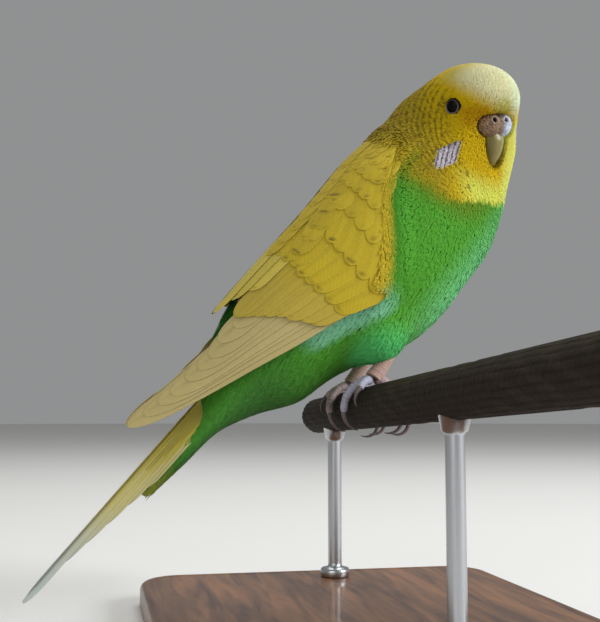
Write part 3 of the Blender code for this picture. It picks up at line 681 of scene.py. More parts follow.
eyes = {
    "place": (3.8, 8.3, -0.5), "radius": 3.1, "axis": (0.34, 0.94, 0.0),
    "opening": 1.6, "lidWidth": 0.3, "lidOut": 2.5, "lidBumps": 26,
    # lid is the bare lids' own pale tone and fold their painted shade
    **palette(ball=(8, 7, 8), rim=(15, 12, 12), lid=(122, 114, 122), fold=(50, 42, 40)),
}
bill = {
    # points (forward, up) in the head's middle plane, half widths and half heights
    "upper": ((5.0, -6.2, 2.5, 1.9), (8.4, -6.6, 2.9, 2.1), (10.0, -8.2, 3.0, 2.1),
              (10.4, -10.8, 2.7, 1.9), (10.2, -13.2, 2.1, 1.5), (9.7, -15.0, 1.4, 1.1),
              (9.0, -16.7, 0.4, 0.35)),
    "lower": ((3.6, -11.0, 2.5, 1.4), (5.8, -12.0, 2.4, 1.3), (7.2, -13.2, 1.8, 1.0),
              (7.7, -14.3, 0.8, 0.5)),
    # dark is painted shade on the bill's right side and pale is painted highlight on its left side
    **palette(olive=(118, 106, 44), dark=(84, 72, 30), pale=(152, 160, 126), tip=(140, 130, 62)),
}
cere = {
    "centre": (9.7, 0.0, -4.6), "radii": (2.7, 5.3, 3.3),
    "nostril": (12.2, 1.95, -2.9), "nostrilRadius": 0.62,
    # the near-black cere colour is painted shade inside the nostrils
    **palette(brown=(132, 104, 78), blue=(182, 192, 214), crack=(70, 48, 34), hole=(14, 10, 8),
              rim=(200, 188, 184)),
}


def eyeGap(points):
    # distance from the nearer eye's axis, for points beside the head
    local = gripToHead(points)
    gap = np.full(points.shape[:-1], 99.0)
    for side in (-1, 1):
        axis = unit(onSide(eyes["axis"], side))
        q = local - onSide(eyes["place"], side)
        out = q @ axis
        gap = np.where(out > -1, np.minimum(gap, size(q - out[..., None] * axis)), gap)
    return gap


def awayFromBill(points):
    # distance from the bill's base
    return size(gripToHead(points) - billBase)


def billGap(points):
    # clearance from the cere and from the bill, a chain of balls along its path
    local = gripToHead(points)
    gap = ellipsoidDistance(local, cere["centre"], cere["radii"])
    for f, u, wide, high in curveThrough(bill["upper"], 12):
        ball = size((local - (f, 0.0, u)) * (1.0, 0.9, 1.0)) - 0.5 * (wide + high)
        gap = np.minimum(gap, ball)
    return gap


def hollow(points):
    # depth of the orbits, and of the groove in the face that the bill lies in
    groove = 2.0 + 2.4 * ease(-9.5, -15.0, gripToHead(points)[..., 2])
    return 0.6 * ease(4.0, 2.2, eyeGap(points)) + groove * ease(1.5, -0.2, billGap(points))


coat = {
    "seed": 11,
    # by distance from the bill's base: length and half width
    "away": (3.5, 8.0, 14.0, 22.0, 32.0, 50.0, 80.0, 140.0),
    "length": (0.8, 1.3, 1.9, 2.6, 3.6, 5.0, 6.2, 6.2),
    "width": (0.13, 0.17, 0.21, 0.25, 0.29, 0.33, 0.36, 0.38),
    "layers": 12.0, "most": 19.0,  # tufts over one another, and the most on a square millimetre
    "ridge": 0.12, "tipLift": 0.16, "wander": 0.1, "roll": 0.07, "tint": 0.035,
    # the two darkenings here are painted shade: at each tuft's root, and on the skin beneath the tufts
    "rootDark": 0.88, "skinDark": 0.85,
    "patch": 0.003, "mostInPiece": 10800,
}
tuftStops = np.array([0.0, 0.5, 0.86, 1.0])  # places along a tuft, from its root to its tip


def byAway(away, key):
    # the coat's table, read at a distance from the bill's base
    return np.interp(away, coat["away"], coat[key])


def skinBelow(points):
    # the skin lies shallow round the bill and at its full depth from the nape on
    return body["skinDepth"] * (0.45 + 0.55 * ease(5, 24, awayFromBill(points)))


def settled(points, depth):
    # moves points along the outline's normal until they lie at the depth below it
    for _ in range(2):
        normal = bodyNormal(points)
        off = bodyDistance(points) + depth + hollow(points)
        points = points - normal * off[..., None]
    return points, normal


def makeSkin():
    # the outline's grid, sunk by the plumage's depth and closed at the tail and the crown
    rings = outlineGrid(-body["skinDepth"])
    sink = hollow(rings) + skinBelow(rings) - body["skinDepth"]
    rings = rings - bodyNormal(rings) * sink[..., None]
    top = body["headCentre"] + along * size(rings[-1] - body["headCentre"]).mean()
    points, polygons = closedTubes(rings[None], end=top[None])
    row, column = np.mgrid[0:len(rings), 0:skinAround]
    uv = np.stack([column / skinAround, row / len(rings)], -1)[None]
    uv = withEnds(uv * 0.98 + 0.01)
    # painted shade: the skin takes the plumage's markings, darkened as if shaded by the tufts over it
    return addMesh("bodySkin", points, polygons, uv, plumageColour(points) * coat["skinDark"])


finishPiece(makeSkin(), materials["skin"], "torso", "head", "neck", "torso")


# Plumage: thin tapered tufts over the skin

coatSlots = {  # the region of the coat and its slot
    "face": "head", "crown": "head", "nape": "head", "neck": "neck",
    "breast": "torso", "belly": "torso", "underTail": "torso",
}


def lieOf(points, normal):
    # away from the cere on the head, turning into the body's tailward lie at the neck
    away = unit(points - headToGrip(billBase))
    s, y, _ = gripToBody(points)
    spread = 0.10 * np.sign(y) * ease(3, 12, np.abs(y))
    tailward = unit(np.stack([-along[0] + 0 * s, spread, -along[2] + 0 * s], -1))
    lie = mix(tailward, away, ease(56, 76, s))
    return unit(lie - normal * np.sum(lie * normal, -1, keepdims=True))


def coatRegion(points):
    # index of the region's name in coatSlots
    f, _, u = np.moveaxis(gripToHead(points), -1, 0)
    s = points @ along
    onBody = np.where(s > 57, 3, np.where(s > 33, 4, np.where(s > 5, 5, 6)))
    return np.where(s > 69, np.where(f > 1.5, 0, np.where(u > 1.0, 1, 2)), onBody)


def makeTufts(path, normal, width, rng):
    # rings of three points round each path, ridged along its middle and rolled a little
    step = unit(np.gradient(path, axis=1))
    across = unit(np.cross(normal, step))
    outward = np.cross(step, across)
    roll = rng.normal(0, coat["roll"], len(path))[:, None, None]
    turnedOut = outward * np.cos(roll) - across * np.sin(roll)
    across = across * np.cos(roll) + outward * np.sin(roll)
    wide = (width[:, None] * np.array([0.75, 1.0, 0.7]))[..., None]
    edge, ridge = across[:, :3] * wide, turnedOut[:, :3] * coat["ridge"] * wide
    return np.stack([path[:, :3] - edge, path[:, :3] + ridge, path[:, :3] + edge], 2), step


def tuftPieces(label, slot, rings, path, step, uv, colour, order):
    # closed tufts in several pieces, each tuft with its own small patch of the map
    patch = np.stack(np.meshgrid([-0.4, 0.0, 0.4], [0.0, 0.4, 0.8]), -1) * coat["patch"]
    pieces = int(np.ceil(len(order) / coat["mostInPiece"]))
    for number, chunk in enumerate(np.array_split(order, pieces)):
        start = path[chunk, 0] - step[chunk, 0] * 0.2
        points, polygons = closedTubes(rings[chunk], start, path[chunk, 3])
        colours = withEnds(np.repeat(colour[chunk, :3, None], 3, 2)).reshape(len(chunk), -1, 3)
        colours[:, -1] = colour[chunk, 3]
        tuftUv = withEnds(uv[chunk, None, None] + patch)
        name = f"{label}{number + 1}"
        piece = addMesh(name, points, polygons, tuftUv, colours.reshape(-1, 3), smooth=False)
        finishPiece(piece, materials["down"], slot)


def spreadRoots(rng):
    # random places over the outline, as many on each patch of it as the coat's table asks
    grid = outlineGrid(0.0)
    a, b = grid[:-1], grid[1:]
    corners = (a, np.roll(a, -1, 1), np.roll(b, -1, 1), b)
    area = 0.5 * size(np.cross(corners[2] - corners[0], corners[3] - corners[1]))
    away = awayFromBill(sum(corners) / 4)
    tuftArea = 2 * byAway(away, "width") * byAway(away, "length")
    density = np.minimum(coat["layers"] / tuftArea, coat["most"])
    count = np.floor(area * density + rng.random(area.shape)).astype(int)
    r, c = (np.repeat(i.ravel(), count.ravel()) for i in np.indices(area.shape))
    p, q = rng.random((2, len(r)))[..., None]
    near = (1 - q) * corners[0][r, c] + q * corners[1][r, c]
    roots = (1 - p) * near + p * (q * corners[2][r, c] + (1 - q) * corners[3][r, c])
    uv = np.stack([(c + q[:, 0]) / skinAround, (r + p[:, 0]) / (skinRows + crownRows)], -1)
    # none under the wings, round the eyes, at the bill or on the tail
    s, y, n = gripToBody(roots)
    clear = (billGap(roots) > 0.12) & (eyeGap(roots) > eyes["opening"] + 0.8 * eyes["lidWidth"])
    rump = (np.abs(y) < 6) & (s < 34) & (n > 28)
    keep = ((underWing(roots) < 6.0) | rump) & clear & (s > -48)
    return roots[keep], (uv * 0.98 + 0.01)[keep]


def swelling(path):
    # the breast rises to the wing's front edge and lies over it, the rump between the wings
    s, y, n = gripToBody(path)
    front = ease(-6.0, 0.0, underWing(path)) * ease(26, 34, s)
    between = ease(7, 2, np.abs(y)) * ease(36, 4, s) * ease(-34, -18, s)
    return wing["frontSwell"] * front, wing["rumpSwell"] * between * ease(28, 34, n)


def makeCoat():
    # each tuft's path is laid on the outline from its root to its tip
    rng = np.random.default_rng(coat["seed"])
    roots, uv = spreadRoots(rng)
    normal = bodyNormal(roots)
    lie = lieOf(roots, normal)
    across = np.cross(normal, lie)
    turn = rng.normal(0, coat["wander"], len(roots))[:, None]
    lie = unit(lie * np.cos(turn) + across * np.sin(turn))
    away = awayFromBill(roots)
    length = byAway(away, "length") * rng.uniform(0.8, 1.2, len(roots))
    width = byAway(away, "width") * rng.uniform(0.8, 1.2, len(roots))
    path = roots[:, None] + lie[:, None] * (length[:, None] * tuftStops)[..., None]
    lift = np.array([-0.25, -0.1, 0.08, coat["tipLift"]])
    lift = lift + rng.uniform(-0.04, 0.08, len(roots))[:, None] * tuftStops
    lift = lift - skinBelow(roots)[:, None] * np.array([1.0, 0, 0, 0])
    for swell in swelling(path):
        lift = lift + swell * tuftStops**0.5
    path, normal = settled(path, -lift)
    rings, step = makeTufts(path, normal, width, rng)
    colour = plumageColour(np.concatenate([path[:, 1:], path[:, -1:]], 1))
    colour = colour * rng.normal(1.0, coat["tint"], len(roots))[:, None, None]
    # painted shade at each tuft's root, under the tufts that lie over it
    colour[:, 0] *= coat["rootDark"]
    region = coatRegion(roots)
    for index, (name, slot) in enumerate(coatSlots.items()):
        chosen = np.flatnonzero(region == index)
        order = chosen[np.argsort(roots[chosen, 1])]
        tuftPieces(name + "Plumage", slot, rings, path, step, uv, colour, order)
    print("tufts", len(roots))


makeCoat()


# Feather vanes

vaneColumns = 11


def vaneShape(t, start, rounding, blunt=1.0):
    # widens from the root, then closes like the end of an ellipse past the rounding
    tail = np.clip((t - rounding) / (1 - rounding), 0, 1)
    closing = np.sqrt(np.maximum(1 - (tail * 0.985) ** (2 * blunt), 0.0))
    return (start + (1 - start) * ease(0, 0.35, t)) * closing


def makeVanes(path, outward, t, widths, camber, colours, thickness, shaft, cells):
    # vanes (count, rows): a lens section thickness(1 - k^2) high over offsets k from -1 to 1,
    # with a raised shaft, bent down by camber k^2; both faces use one patch of the map
    k = np.sin(np.linspace(-math.pi / 2, math.pi / 2, vaneColumns))
    offset = np.concatenate([k, k[1:-1][::-1]])
    lens = np.concatenate([1 - k**2, -(1 - k[1:-1] ** 2)]) * thickness / 2
    upper = np.concatenate([np.ones(vaneColumns), np.zeros(vaneColumns - 2)])
    height = lens + shaft * bell(offset, 0.12) * upper
    step = unit(np.gradient(path, axis=1))
    across = unit(np.cross(outward, step))
    outward = np.cross(step, across)
    ring = (
        path[:, :, None] + across[:, :, None] * (widths[..., None] * offset)[..., None]
        + outward[:, :, None] * (height - camber[..., None] * offset**2)[..., None]
    )
    points, polygons = closedTubes(ring)
    evenly = np.linspace(0, 1, ring.shape[1])[:, None]
    vaneMap = np.stack(np.broadcast_arrays((offset + 1) / 2, evenly), -1)[None].repeat(len(ring), 0)
    bake = cells[:, None, None, :2] + (0.02 + 0.96 * vaneMap) * cells[:, None, None, 2:]
    shades = colours(*(np.broadcast_to(a, ring.shape[:3]) for a in (offset, t[:, None])))
    return points, polygons, withEnds(bake), withEnds(shades), withEnds(vaneMap)


def mapCells(count, first, total):
    # count cells from the first on, of a square grid of cells that fills the map
    side = int(np.ceil(np.sqrt(total)))
    i = np.arange(first, first + count)
    wide = np.full(count, 0.98 / side)
    return np.stack([i % side / side, i // side / side, wide, wide], -1)


def shellPoint(s, fraction, lift, side):
    # fraction 0 is the wing's dorsal edge and 1 its lower edge, by the angle round the shell
    top, low, middle, width = columnsAt(wing["shell"], s)
    height = top - middle
    drop = np.arccos(np.clip((low - middle) / height, -1, 1))
    first = np.arcsin(np.clip(1.5 / width, 0, 0.9))
    angle = first + fraction * (drop - first)
    point = bodyToGrip(s, side * width * np.sin(angle), middle + height * np.cos(angle))
    outward = unit(bodyToGrip(0 * s, side * np.sin(angle) / width, np.cos(angle) / height))
    return point + lift[..., None] * outward, outward


feathers = palette(
    primary=(184, 169, 112), primaryEdge=(198, 186, 138), primaryLine=(120, 110, 88),
    secondary=(184, 162, 62), tertial=(194, 176, 70), tertialEdge=(206, 196, 132),
    covert=(188, 165, 40), covertRoot=(180, 158, 38), covertEdge=(194, 174, 60),
    lesser=(188, 165, 42), scapular=(184, 161, 42), mark=(74, 62, 30),
    softMark=(104, 90, 44), base=(120, 112, 50),
)
# what most tiers share: change of lift from vane to vane, rows, where the end rounds,
# darkness of the shaft and of the fine lines beside it, and colours of root, tip, rim and mark
small = ((0.0, 0.01), 10, 0.62, 0.15, 0.0, ("covertRoot", "lesser", "covertEdge", "mark"))
covertShades = ("covertRoot", "covert", "covertEdge", "mark")
tierColumns = (
    "count", "root", "rootStep", "tip", "tipStep",  # root and tip: (s, fraction) of the first vane
    "width", "lift",  # half width, and lift at root and tip
    "marks",  # across the end: place from it, width, reach over k and strength
    "liftStep", "rows", "rounding", "shaft", "lines", "colours",
)
tiers = {
    "primaries": (
        9, (20, 0.94), (0, -0.055), (-43.5, 0.74), (4.3, -0.036), 3.3, (0.05, 0.2),
        (1.0, 0.3, 1.0, 0.0), (0.02, 0.045), 22, 0.8, 0.6, 0.5,
        ("primary", "primary", "primaryEdge", "primaryLine")),
    "secondaries": (
        8, (26, 0.93), (0, -0.075), (4.5, 0.87), (-1.6, -0.07), 3.2, (0.4, 0.74),
        (1.0, 0.2, 0.8, 0.45), (0.0, 0.02), 16, 0.8, 0.4, 0.0,
        ("covert", "secondary", "covertEdge", "mark")),
    "tertials": (
        3, (27, 0.31), (3, -0.11), (1.0, 0.27), (-4.5, -0.11), 3.7, (0.4, 1.0),
        (1.3, 0.25, 0.95, 0.6), (0.0, 0.18), 20, 0.84, 0.6, 0.0,
        ("tertial", "tertial", "tertialEdge", "mark")),
    "greaterCoverts": (
        9, (28, 0.9), (0.6, -0.094), (10.5, 0.9), (0.35, -0.092), 3.1, (0.5, 0.84),
        (1.0, 0.22, 0.85, 0.85), (0.0, 0.01), 14, 0.72, 0.35, 0.0, covertShades),
    "medianCoverts": (
        9, (36, 0.89), (0.6, -0.1), (20.0, 0.89), (0.8, -0.1), 3.0, (0.52, 0.86),
        (1.0, 0.22, 0.6, 0.8), (0.0, 0.01), 12, 0.68, 0.25, 0.0, covertShades),
    "lesserOne": (
        9, (41, 0.89), (0.6, -0.105), (28.5, 0.89), (0.8, -0.105), 2.8, (0.54, 0.87),
        (1.2, 0.24, 0.34, 0.85), *small),
    "lesserTwo": (
        9, (45.5, 0.89), (0.5, -0.105), (36.0, 0.89), (0.8, -0.104), 2.7, (0.54, 0.87),
        (1.1, 0.24, 0.32, 0.85), *small),
    "lesserThree": (
        8, (50, 0.89), (0.4, -0.115), (41.5, 0.89), (0.7, -0.113), 2.7, (0.54, 0.87),
        (1.1, 0.24, 0.32, 0.8), *small),
    "lesserFour": (
        8, (54.5, 0.89), (0.3, -0.115), (46.5, 0.89), (0.6, -0.113), 2.6, (0.5, 0.86),
        (1.0, 0.22, 0.3, 0.75), *small),
    "lesserFive": (
        8, (58.5, 0.89), (0.2, -0.115), (51.0, 0.89), (0.4, -0.115), 2.5, (0.4, 0.84),
        (1.0, 0.22, 0.3, 0.7), *small),
    "lesserSix": (
        7, (61.5, 0.89), (0.1, -0.13), (55.5, 0.89), (0.2, -0.13), 2.4, (0.1, 0.75),
        (1.0, 0.22, 0.3, 0.55), *small),
    "scapularsOuter": (
        8, (27, 0.34), (4.3, -0.006), (15.5, 0.36), (4.4, -0.01), 3.2, (0.7, 1.0),
        (1.1, 0.22, 0.8, 0.8), (0.0, -0.02), 12, 0.68, 0.25, 0.0,
        ("scapular", "scapular", "covertEdge", "mark")),
    "scapularsInner": (
        9, (24, 0.14), (4.2, 0.0), (12.0, 0.13), (4.4, 0.0), 3.3, (0.75, 1.1),
        (1.4, 0.26, 0.8, 0.5), (0.0, -0.02), 12, 0.68, 0.25, 0.0,
        ("scapular", "scapular", "covertEdge", "softMark")),
}
tiers = {name: dict(zip(tierColumns, row)) for name, row in tiers.items()}


def tierColours(tier, lengths, rng):
    # colour over offset k and place t along the vane: root to tip, a paler rim, a mark across
    # the end, a darker shaft, fine lines beside it, and painted shade towards the root
    root, tip, edge, mark = (feathers[name] for name in tier["colours"])
    markPlace, markWidth, markReach, markStrength = tier["marks"]
    shape = (tier["count"], 1, 1)
    tint = rng.normal(1.0, 0.03, (*shape, 1))
    strength = markStrength * rng.uniform(0.45, 1.1, shape)
    wander = rng.uniform(-0.4, 0.4, shape)

    def colours(k, t):
        # the marks lie at a fixed distance from the end, bent back towards the rims
        fromEnd = (1 - t) * lengths[:, None, None]
        rim = np.maximum(ease(0.8, 1.0, np.abs(k)), ease(0.4, 0.05, fromEnd))
        crescent = bell(fromEnd - markPlace - wander + 0.7 * k**2, markWidth)
        crescent = crescent * ease(markReach + 0.12, markReach - 0.12, np.abs(k))
        coats = ((tip, ease(0.2, 0.75, t)), (edge, 0.25 * rim), (mark, strength * crescent))
        colour = layered(root, *coats)
        shaft = bell(k, 0.09) * (1 - ease(0.9, 1.0, t))
        colour = mix(colour, colour * 0.7, tier["shaft"] * shaft)
        # painted shade: each vane darker towards its root, where the vanes over it cover it
        colour = colour * tint * (0.85 + 0.15 * ease(0.0, 0.3, t))[..., None]
        lines = np.clip(bell(k - 0.45, 0.07) + bell(k + 0.86, 0.06), 0, 1)
        return mix(colour, feathers["primaryLine"], tier["lines"] * lines)

    return colours


def dipped(s, fraction, lift):
    # lift less the dip towards the lower front edge and the shoulder
    edge = ease(0.78, 1.0, fraction) * ease(20, 30, s)
    return lift - wing["edgeDip"] * edge - wing["shoulderDip"] * ease(44, 60, s)


def makeTier(tier, first, total, side, rng):
    # vanes from root to tip over the shell, their ends shifted a little at random
    i = np.arange(tier["count"])[:, None]
    t = 1 - (1 - np.linspace(0, 1, tier["rows"])) ** 1.6
    ends = []
    for end in ("root", "tip"):
        for k, spread in enumerate((0.35, 0.008)):
            place = tier[end][k] + tier[end + "Step"][k] * i
            ends.append(place + rng.normal(0, spread, i.shape))
    s, fraction = (ends[k] + (ends[k + 2] - ends[k]) * t for k in (0, 1))
    (low, high), (lowStep, highStep) = tier["lift"], tier["liftStep"]
    lift = low + lowStep * i + (high - low + (highStep - lowStep) * i) * t
    path, outward = shellPoint(s, fraction, dipped(s, fraction, lift), side)
    lengths = size(path[:, -1] - path[:, 0])
    widths = tier["width"] * rng.uniform(0.94, 1.06, i.shape) * vaneShape(t, 0.55, tier["rounding"])
    camber = widths**2 / 75 + 0.01 * widths
    colours = tierColours(tier, lengths, rng)
    cells = mapCells(tier["count"], first, total)
    return makeVanes(path, outward, t, widths, camber, colours, wing["thickness"], wing["shaft"], cells)


def makeSlab(side):
    # a thin slab that closes the wing below its vanes
    s, fraction = np.meshgrid(np.linspace(-36, 60, 60), np.linspace(0.0, 1.0, 24), indexing="ij")
    first = 0.02 + 0.42 * ease(4, -10, s)
    fraction = first + (0.97 - first) * fraction
    sink = dipped(s, fraction, -0.3 - 0.5 * ease(40, 56, s))
    outer, _ = shellPoint(s, fraction, sink, side)
    inner, _ = shellPoint(s, fraction, sink - 0.5 * ease(-40, -20, s) - 0.15, side)
    ring = np.concatenate([outer, inner[:, ::-1]], 1)
    shade = mix(feathers["primary"], feathers["base"], ease(0, 24, ring @ along))
    around, rows = np.linspace(0, 1, 48), np.linspace(0, 1, 60)[:, None]
    return addRings("wingBase" + sideName(side), ring, around, rows, shade)


def makeWing(side):
    # every tier as lens vanes on the shell, over the slab
    rng = np.random.default_rng(23 + side)
    total = sum(tier["count"] for tier in tiers.values())
    made, first = [], 0
    for tier in tiers.values():
        made.append(makeTier(tier, first, total, side, rng))
        first += tier["count"]
    label = sideName(side)
    node = "wing_" + label.lower()
    # the first three tiers are the flight feathers
    flight = addMesh("flightFeathers" + label, *joined(made[:3]))
    coverts = addMesh("wingCoverts" + label, *joined(made[3:]))
    finishPiece(flight, materials["vane"], node, node)
    finishPiece(coverts, materials["covert"], node, node)
    finishPiece(makeSlab(side), materials["skin"], node, node)
    makeFringe(side, label, node, rng)


fringe = {
    # tufts on each wing, how far inside its edge, length, half width, lift at root and tip
    "tufts": 2600, "inside": 4.5, "length": 4.2, "width": 0.3, "lift": (-0.6, 1.35),
}


def makeFringe(side, label, node, rng):
    # soft tufts rooted near the wing's front and lower front edge, lying over the coverts
    count = fringe["tufts"]
    s = rng.uniform(25, 62, count)
    inside = fringe["inside"] * rng.random(count) ** 1.5 - 0.8
    width = columnsAt(wing["shell"], s)[3]
    fraction = np.clip(1 - inside / width / 1.3, 0.05, 1.06)
    atFront = rng.random(count) < ease(52, 60, s) * 0.8
    s = np.where(atFront, 61.5 - np.abs(inside), s)
    fraction = np.where(atFront, rng.uniform(0.04, 1.0, count), fraction)
    length = fringe["length"] * rng.uniform(0.7, 1.2, count)
    places = s[:, None] - length[:, None] * tuftStops * 0.96
    fractions = fraction[:, None] + rng.normal(0, 0.012, count)[:, None] * tuftStops
    low, high = fringe["lift"]
    lift = dipped(places, fractions, low + (high - low) * tuftStops**0.6)
    path, outward = shellPoint(places, fractions, lift, side)
    rings, step = makeTufts(path, outward, np.full(count, fringe["width"]), rng)
    yellow = feathers["lesser"] * rng.normal(1.0, 0.04, count)[:, None, None]
    depth = (inside / fringe["inside"])[:, None] + 0.25 * tuftStops - 0.3
    onWing = np.maximum(ease(-0.1, 0.5, depth), ease(50, 56, places))
    colour = mix(plumageColour(path), yellow, onWing)
    uv = np.stack([0.02 + 0.94 * np.clip(fraction, 0, 1), 0.02 + 0.94 * (s - 20) / 45], -1)
    tuftPieces("wingFringe" + label, node, rings, path, step, uv, colour, np.argsort(s))


for side in (-1, 1):
    makeWing(side)


# Tail

tail = {
    "tips": (-92.0, -79.0, -73.0, -66.5, -60.0, -53.5), "root": -12.0,  # s, from the middle pair out
    "thickness": 0.32, "shaft": 0.16, "rows": 34,
    **palette(yellow=(172, 158, 50), middle=(204, 192, 112), pale=(200, 202, 176), end=(194, 204, 202),
              edge=(206, 208, 190), shaftDark=(96, 92, 74)),
}


def makeTailFeather(k, tip, side):
    # k counts the pairs from the central one, which lies on top
    t = 1 - (1 - np.linspace(0, 1, tail["rows"])) ** 1.4
    s = tail["root"] + (tip - tail["root"]) * t
    y = side * (0.9 + 0.9 * k * (1 - 0.5 * t))
    n = 34.0 - 0.62 * k * (1 - 0.3 * t) - 1.3 * t
    path = bodyToGrip(s, y, n)[None]
    outward = unit(bodyToGrip(0 * s, side * (0.55 + 0.05 * k) + 0 * s, 1 + 0 * s))[None]
    widths = ((2.0 + 0.15 * k) * vaneShape(t, 0.8, 0.86 if k else 0.9, 0.9))[None]

    def colours(across, t):
        # yellow at the root, paler by the place along the body
        s = tail["root"] + (tip - tail["root"]) * t
        return layered(
            tail["yellow"],
            (tail["middle"], ease(-40, -60, s)),
            (tail["pale"], ease(-58, -74, s)),
            (tail["end"], ease(-70, -86, s)),
            (tail["edge"], 0.5 * ease(0.7, 1.0, np.abs(across))),
            (tail["shaftDark"], 0.5 * bell(across, 0.1) * (1 - ease(0.93, 1.0, t))),
        )

    cells = mapCells(1, 2 * k + (side > 0), 2 * len(tail["tips"]))
    lens = (tail["thickness"], tail["shaft"])
    return makeVanes(path, outward, t, widths, widths * 0.12, colours, *lens, cells)


tailVanes = [makeTailFeather(k, tip, side) for k, tip in enumerate(tail["tips"]) for side in (-1, 1)]
finishPiece(addMesh("tailFeathers", *joined(tailVanes)), materials["vane"], "tail", "tail")


# Eyes, lids, cere and bill

def makeEyeball(side, axis, first, second):
    # a ball turned so that its pole looks out, with a faint darker middle
    polar = np.linspace(0.05, math.pi - 0.3, 40)[:, None]
    turn = circle(64)
    edge = np.cos(turn)[:, None] * first + np.sin(turn)[:, None] * second
    ball = np.cos(polar)[..., None] * axis + np.sin(polar)[..., None] * edge
    bulge = 1 + 0.03 * bell(polar, 0.35)[..., None]
    ring = headToGrip(onSide(eyes["place"], side) + eyes["radius"] * ball * bulge)
    colour = mix(eyes["ball"], eyes["rim"], ease(0.3, 0.42, polar) + 0 * turn)
    return addRings("eyeball" + sideName(side), ring, turn / fullTurn, polar / math.pi, colour)


def makeLids(side, axis, first, second):
    # a ring of small bumps round the eye's opening, with painted shade on its upper side and between
    # the bumps
    rows, around = 96, 14
    angle, section = circle(rows), circle(around)[:, None]
    out = np.cos(angle)[:, None] * first + np.sin(angle)[:, None] * second
    middle = onSide(eyes["place"], side) + axis * eyes["lidOut"]
    middle = middle + out * (eyes["opening"] + eyes["lidWidth"] * 0.55)
    bump = np.sin(eyes["lidBumps"] * angle)
    wide = eyes["lidWidth"] * 0.6 * np.cos(section) * out[:, None]
    bumps = 1 + 0.12 * bump[:, None, None] * np.cos(section)
    rings = middle[:, None] + bumps * (wide + 0.42 * np.sin(section) * axis)
    r, c = np.mgrid[0:rows, 0:around]
    nextRow, nextOne = (r + 1) % rows * around, (c + 1) % around
    corners = (r * around + c, r * around + nextOne, nextRow + nextOne, nextRow + c)
    quads = np.stack(corners, -1).reshape(-1, 4)[:, ::-side]
    # painted shade: the fold tone on the upper side and in the dips between the bumps, the lid's pale
    # tone below
    light = (0.5 + 0.5 * np.sin(angle)) * (0.7 + 0.3 * bump)
    shade = mix(eyes["fold"], eyes["lid"], light)[:, None].repeat(around, 1).reshape(-1, 3)
    uv = np.stack([r / rows, c / around], -1).reshape(-1, 2)
    return addMesh("lids" + sideName(side), headToGrip(rings).reshape(-1, 3), [quads], uv, shade)


for side in (-1, 1):
    axis = unit(onSide(eyes["axis"], side))
    first = unit(np.cross(axis, (0.0, 0.0, 1.0)))
    eyeAxes = (side, axis, first, np.cross(axis, first))
    node = "eye_" + sideName(side).lower()
    finishPiece(makeEyeball(*eyeAxes), materials["eye"], node, node)
    finishPiece(makeLids(*eyeAxes), materials["lid"], "head", "head")


def makeCere():
    # an ellipsoid roughened by crossed waves, pitted by two nostrils
    polar, turn = np.linspace(0.02, math.pi - 0.02, 90)[:, None], circle(160)
    sphere = np.stack(np.broadcast_arrays(
        np.sin(polar) * np.cos(turn), np.cos(polar), np.sin(polar) * np.sin(turn)), -1)
    squared = np.sign(sphere) * np.abs(sphere) ** (1.0, 0.86, 0.86)
    local = np.array(cere["centre"]) + squared * cere["radii"]
    a, b, c = np.moveaxis(local, -1, 0)
    # a dip along the middle between two swellings
    swell = -0.45 * bell(b, 0.9) + 0.12 * bell(np.abs(b) - 2.2, 1.4)
    rough = np.sin(5.1 * a + 3 * np.sin(2.3 * b)) * np.sin(4.7 * b + 2 * np.sin(3.1 * c))
    rough = rough * np.sin(5.9 * c + 2 * a)
    flakes = np.sin(9.7 * b + 2.4 * c) * np.sin(8.3 * c - 3 * a)
    gaps = [size((local - onSide(cere["nostril"], side)) * (0.5, 1, 1)) for side in (-1, 1)]
    rim = np.minimum(*gaps) - cere["nostrilRadius"]
    pit = -1.0 * ease(0.15, -0.3, rim)
    push = swell + 0.22 * rough + 0.12 * flakes + pit + 0.16 * bell(rim - 0.3, 0.22)
    colour = layered(
        cere["brown"],
        (cere["blue"], ease(0.2, 2.4, b + 0.5 * rough)),
        (cere["crack"], 0.75 * ease(0.1, 0.5, -rough - 0.5 * flakes)),
        (cere["rim"], 0.3 * bell(rim - 0.22, 0.2)),
        # painted shade inside the nostrils
        (cere["hole"], ease(0.16, -0.05, rim)),
    )
    ring = headToGrip(local + sphere * push[..., None])
    return addRings("cereSkin", ring, turn / fullTurn, polar / math.pi, colour)


finishPiece(makeCere(), materials["cere"], "cere", "cere")


def makeBill(name, table, rows, keelSide):
    # a keeled tube along the curved path, with growth lines across it and streaks along it
    forward, up, wide, high = curveThrough(table, rows).T
    path = np.stack([forward, 0 * forward, up], -1)
    step = unit(np.gradient(path, axis=0))
    across = np.tile([0.0, 1.0, 0.0], (rows, 1))
    out = np.cross(step, across)
    angle, t = circle(48), np.linspace(0, 1, rows)[:, None]
    keel = 1 + 0.07 * bell(keelSide * np.sin(angle) - 1, 0.12)
    growth = 1 + 0.012 * np.sin(46 * t + 1.2 * np.cos(angle))
    section = (
        (np.cos(angle) * keel * growth)[..., None] * across[:, None] * wide[:, None, None]
        + (np.sin(angle) * keel * growth)[..., None] * out[:, None] * high[:, None, None]
    )
    local = path[:, None] + section
    b = local[..., 1]
    # painted shade on the bill's right side (dark) and painted highlight on its left side, which faces
    # the key lamp (pale)
    colour = layered(
        bill["olive"],
        (bill["dark"], 0.5 * ease(0.4, -2.2, b) * ease(0.1, 0.4, t)),
        (bill["pale"], 0.85 * ease(0.6, 2.4, b)),
        (bill["tip"], 0.7 * ease(0.75, 1.0, t + 0 * b)),
    )
    streak = 0.5 + 0.5 * np.sin(9 * b + 2 * np.sin(7 * t))
    colour = colour * (0.86 + 0.2 * streak)[..., None]
    return addRings(name, headToGrip(local), angle / fullTurn, t, colour)


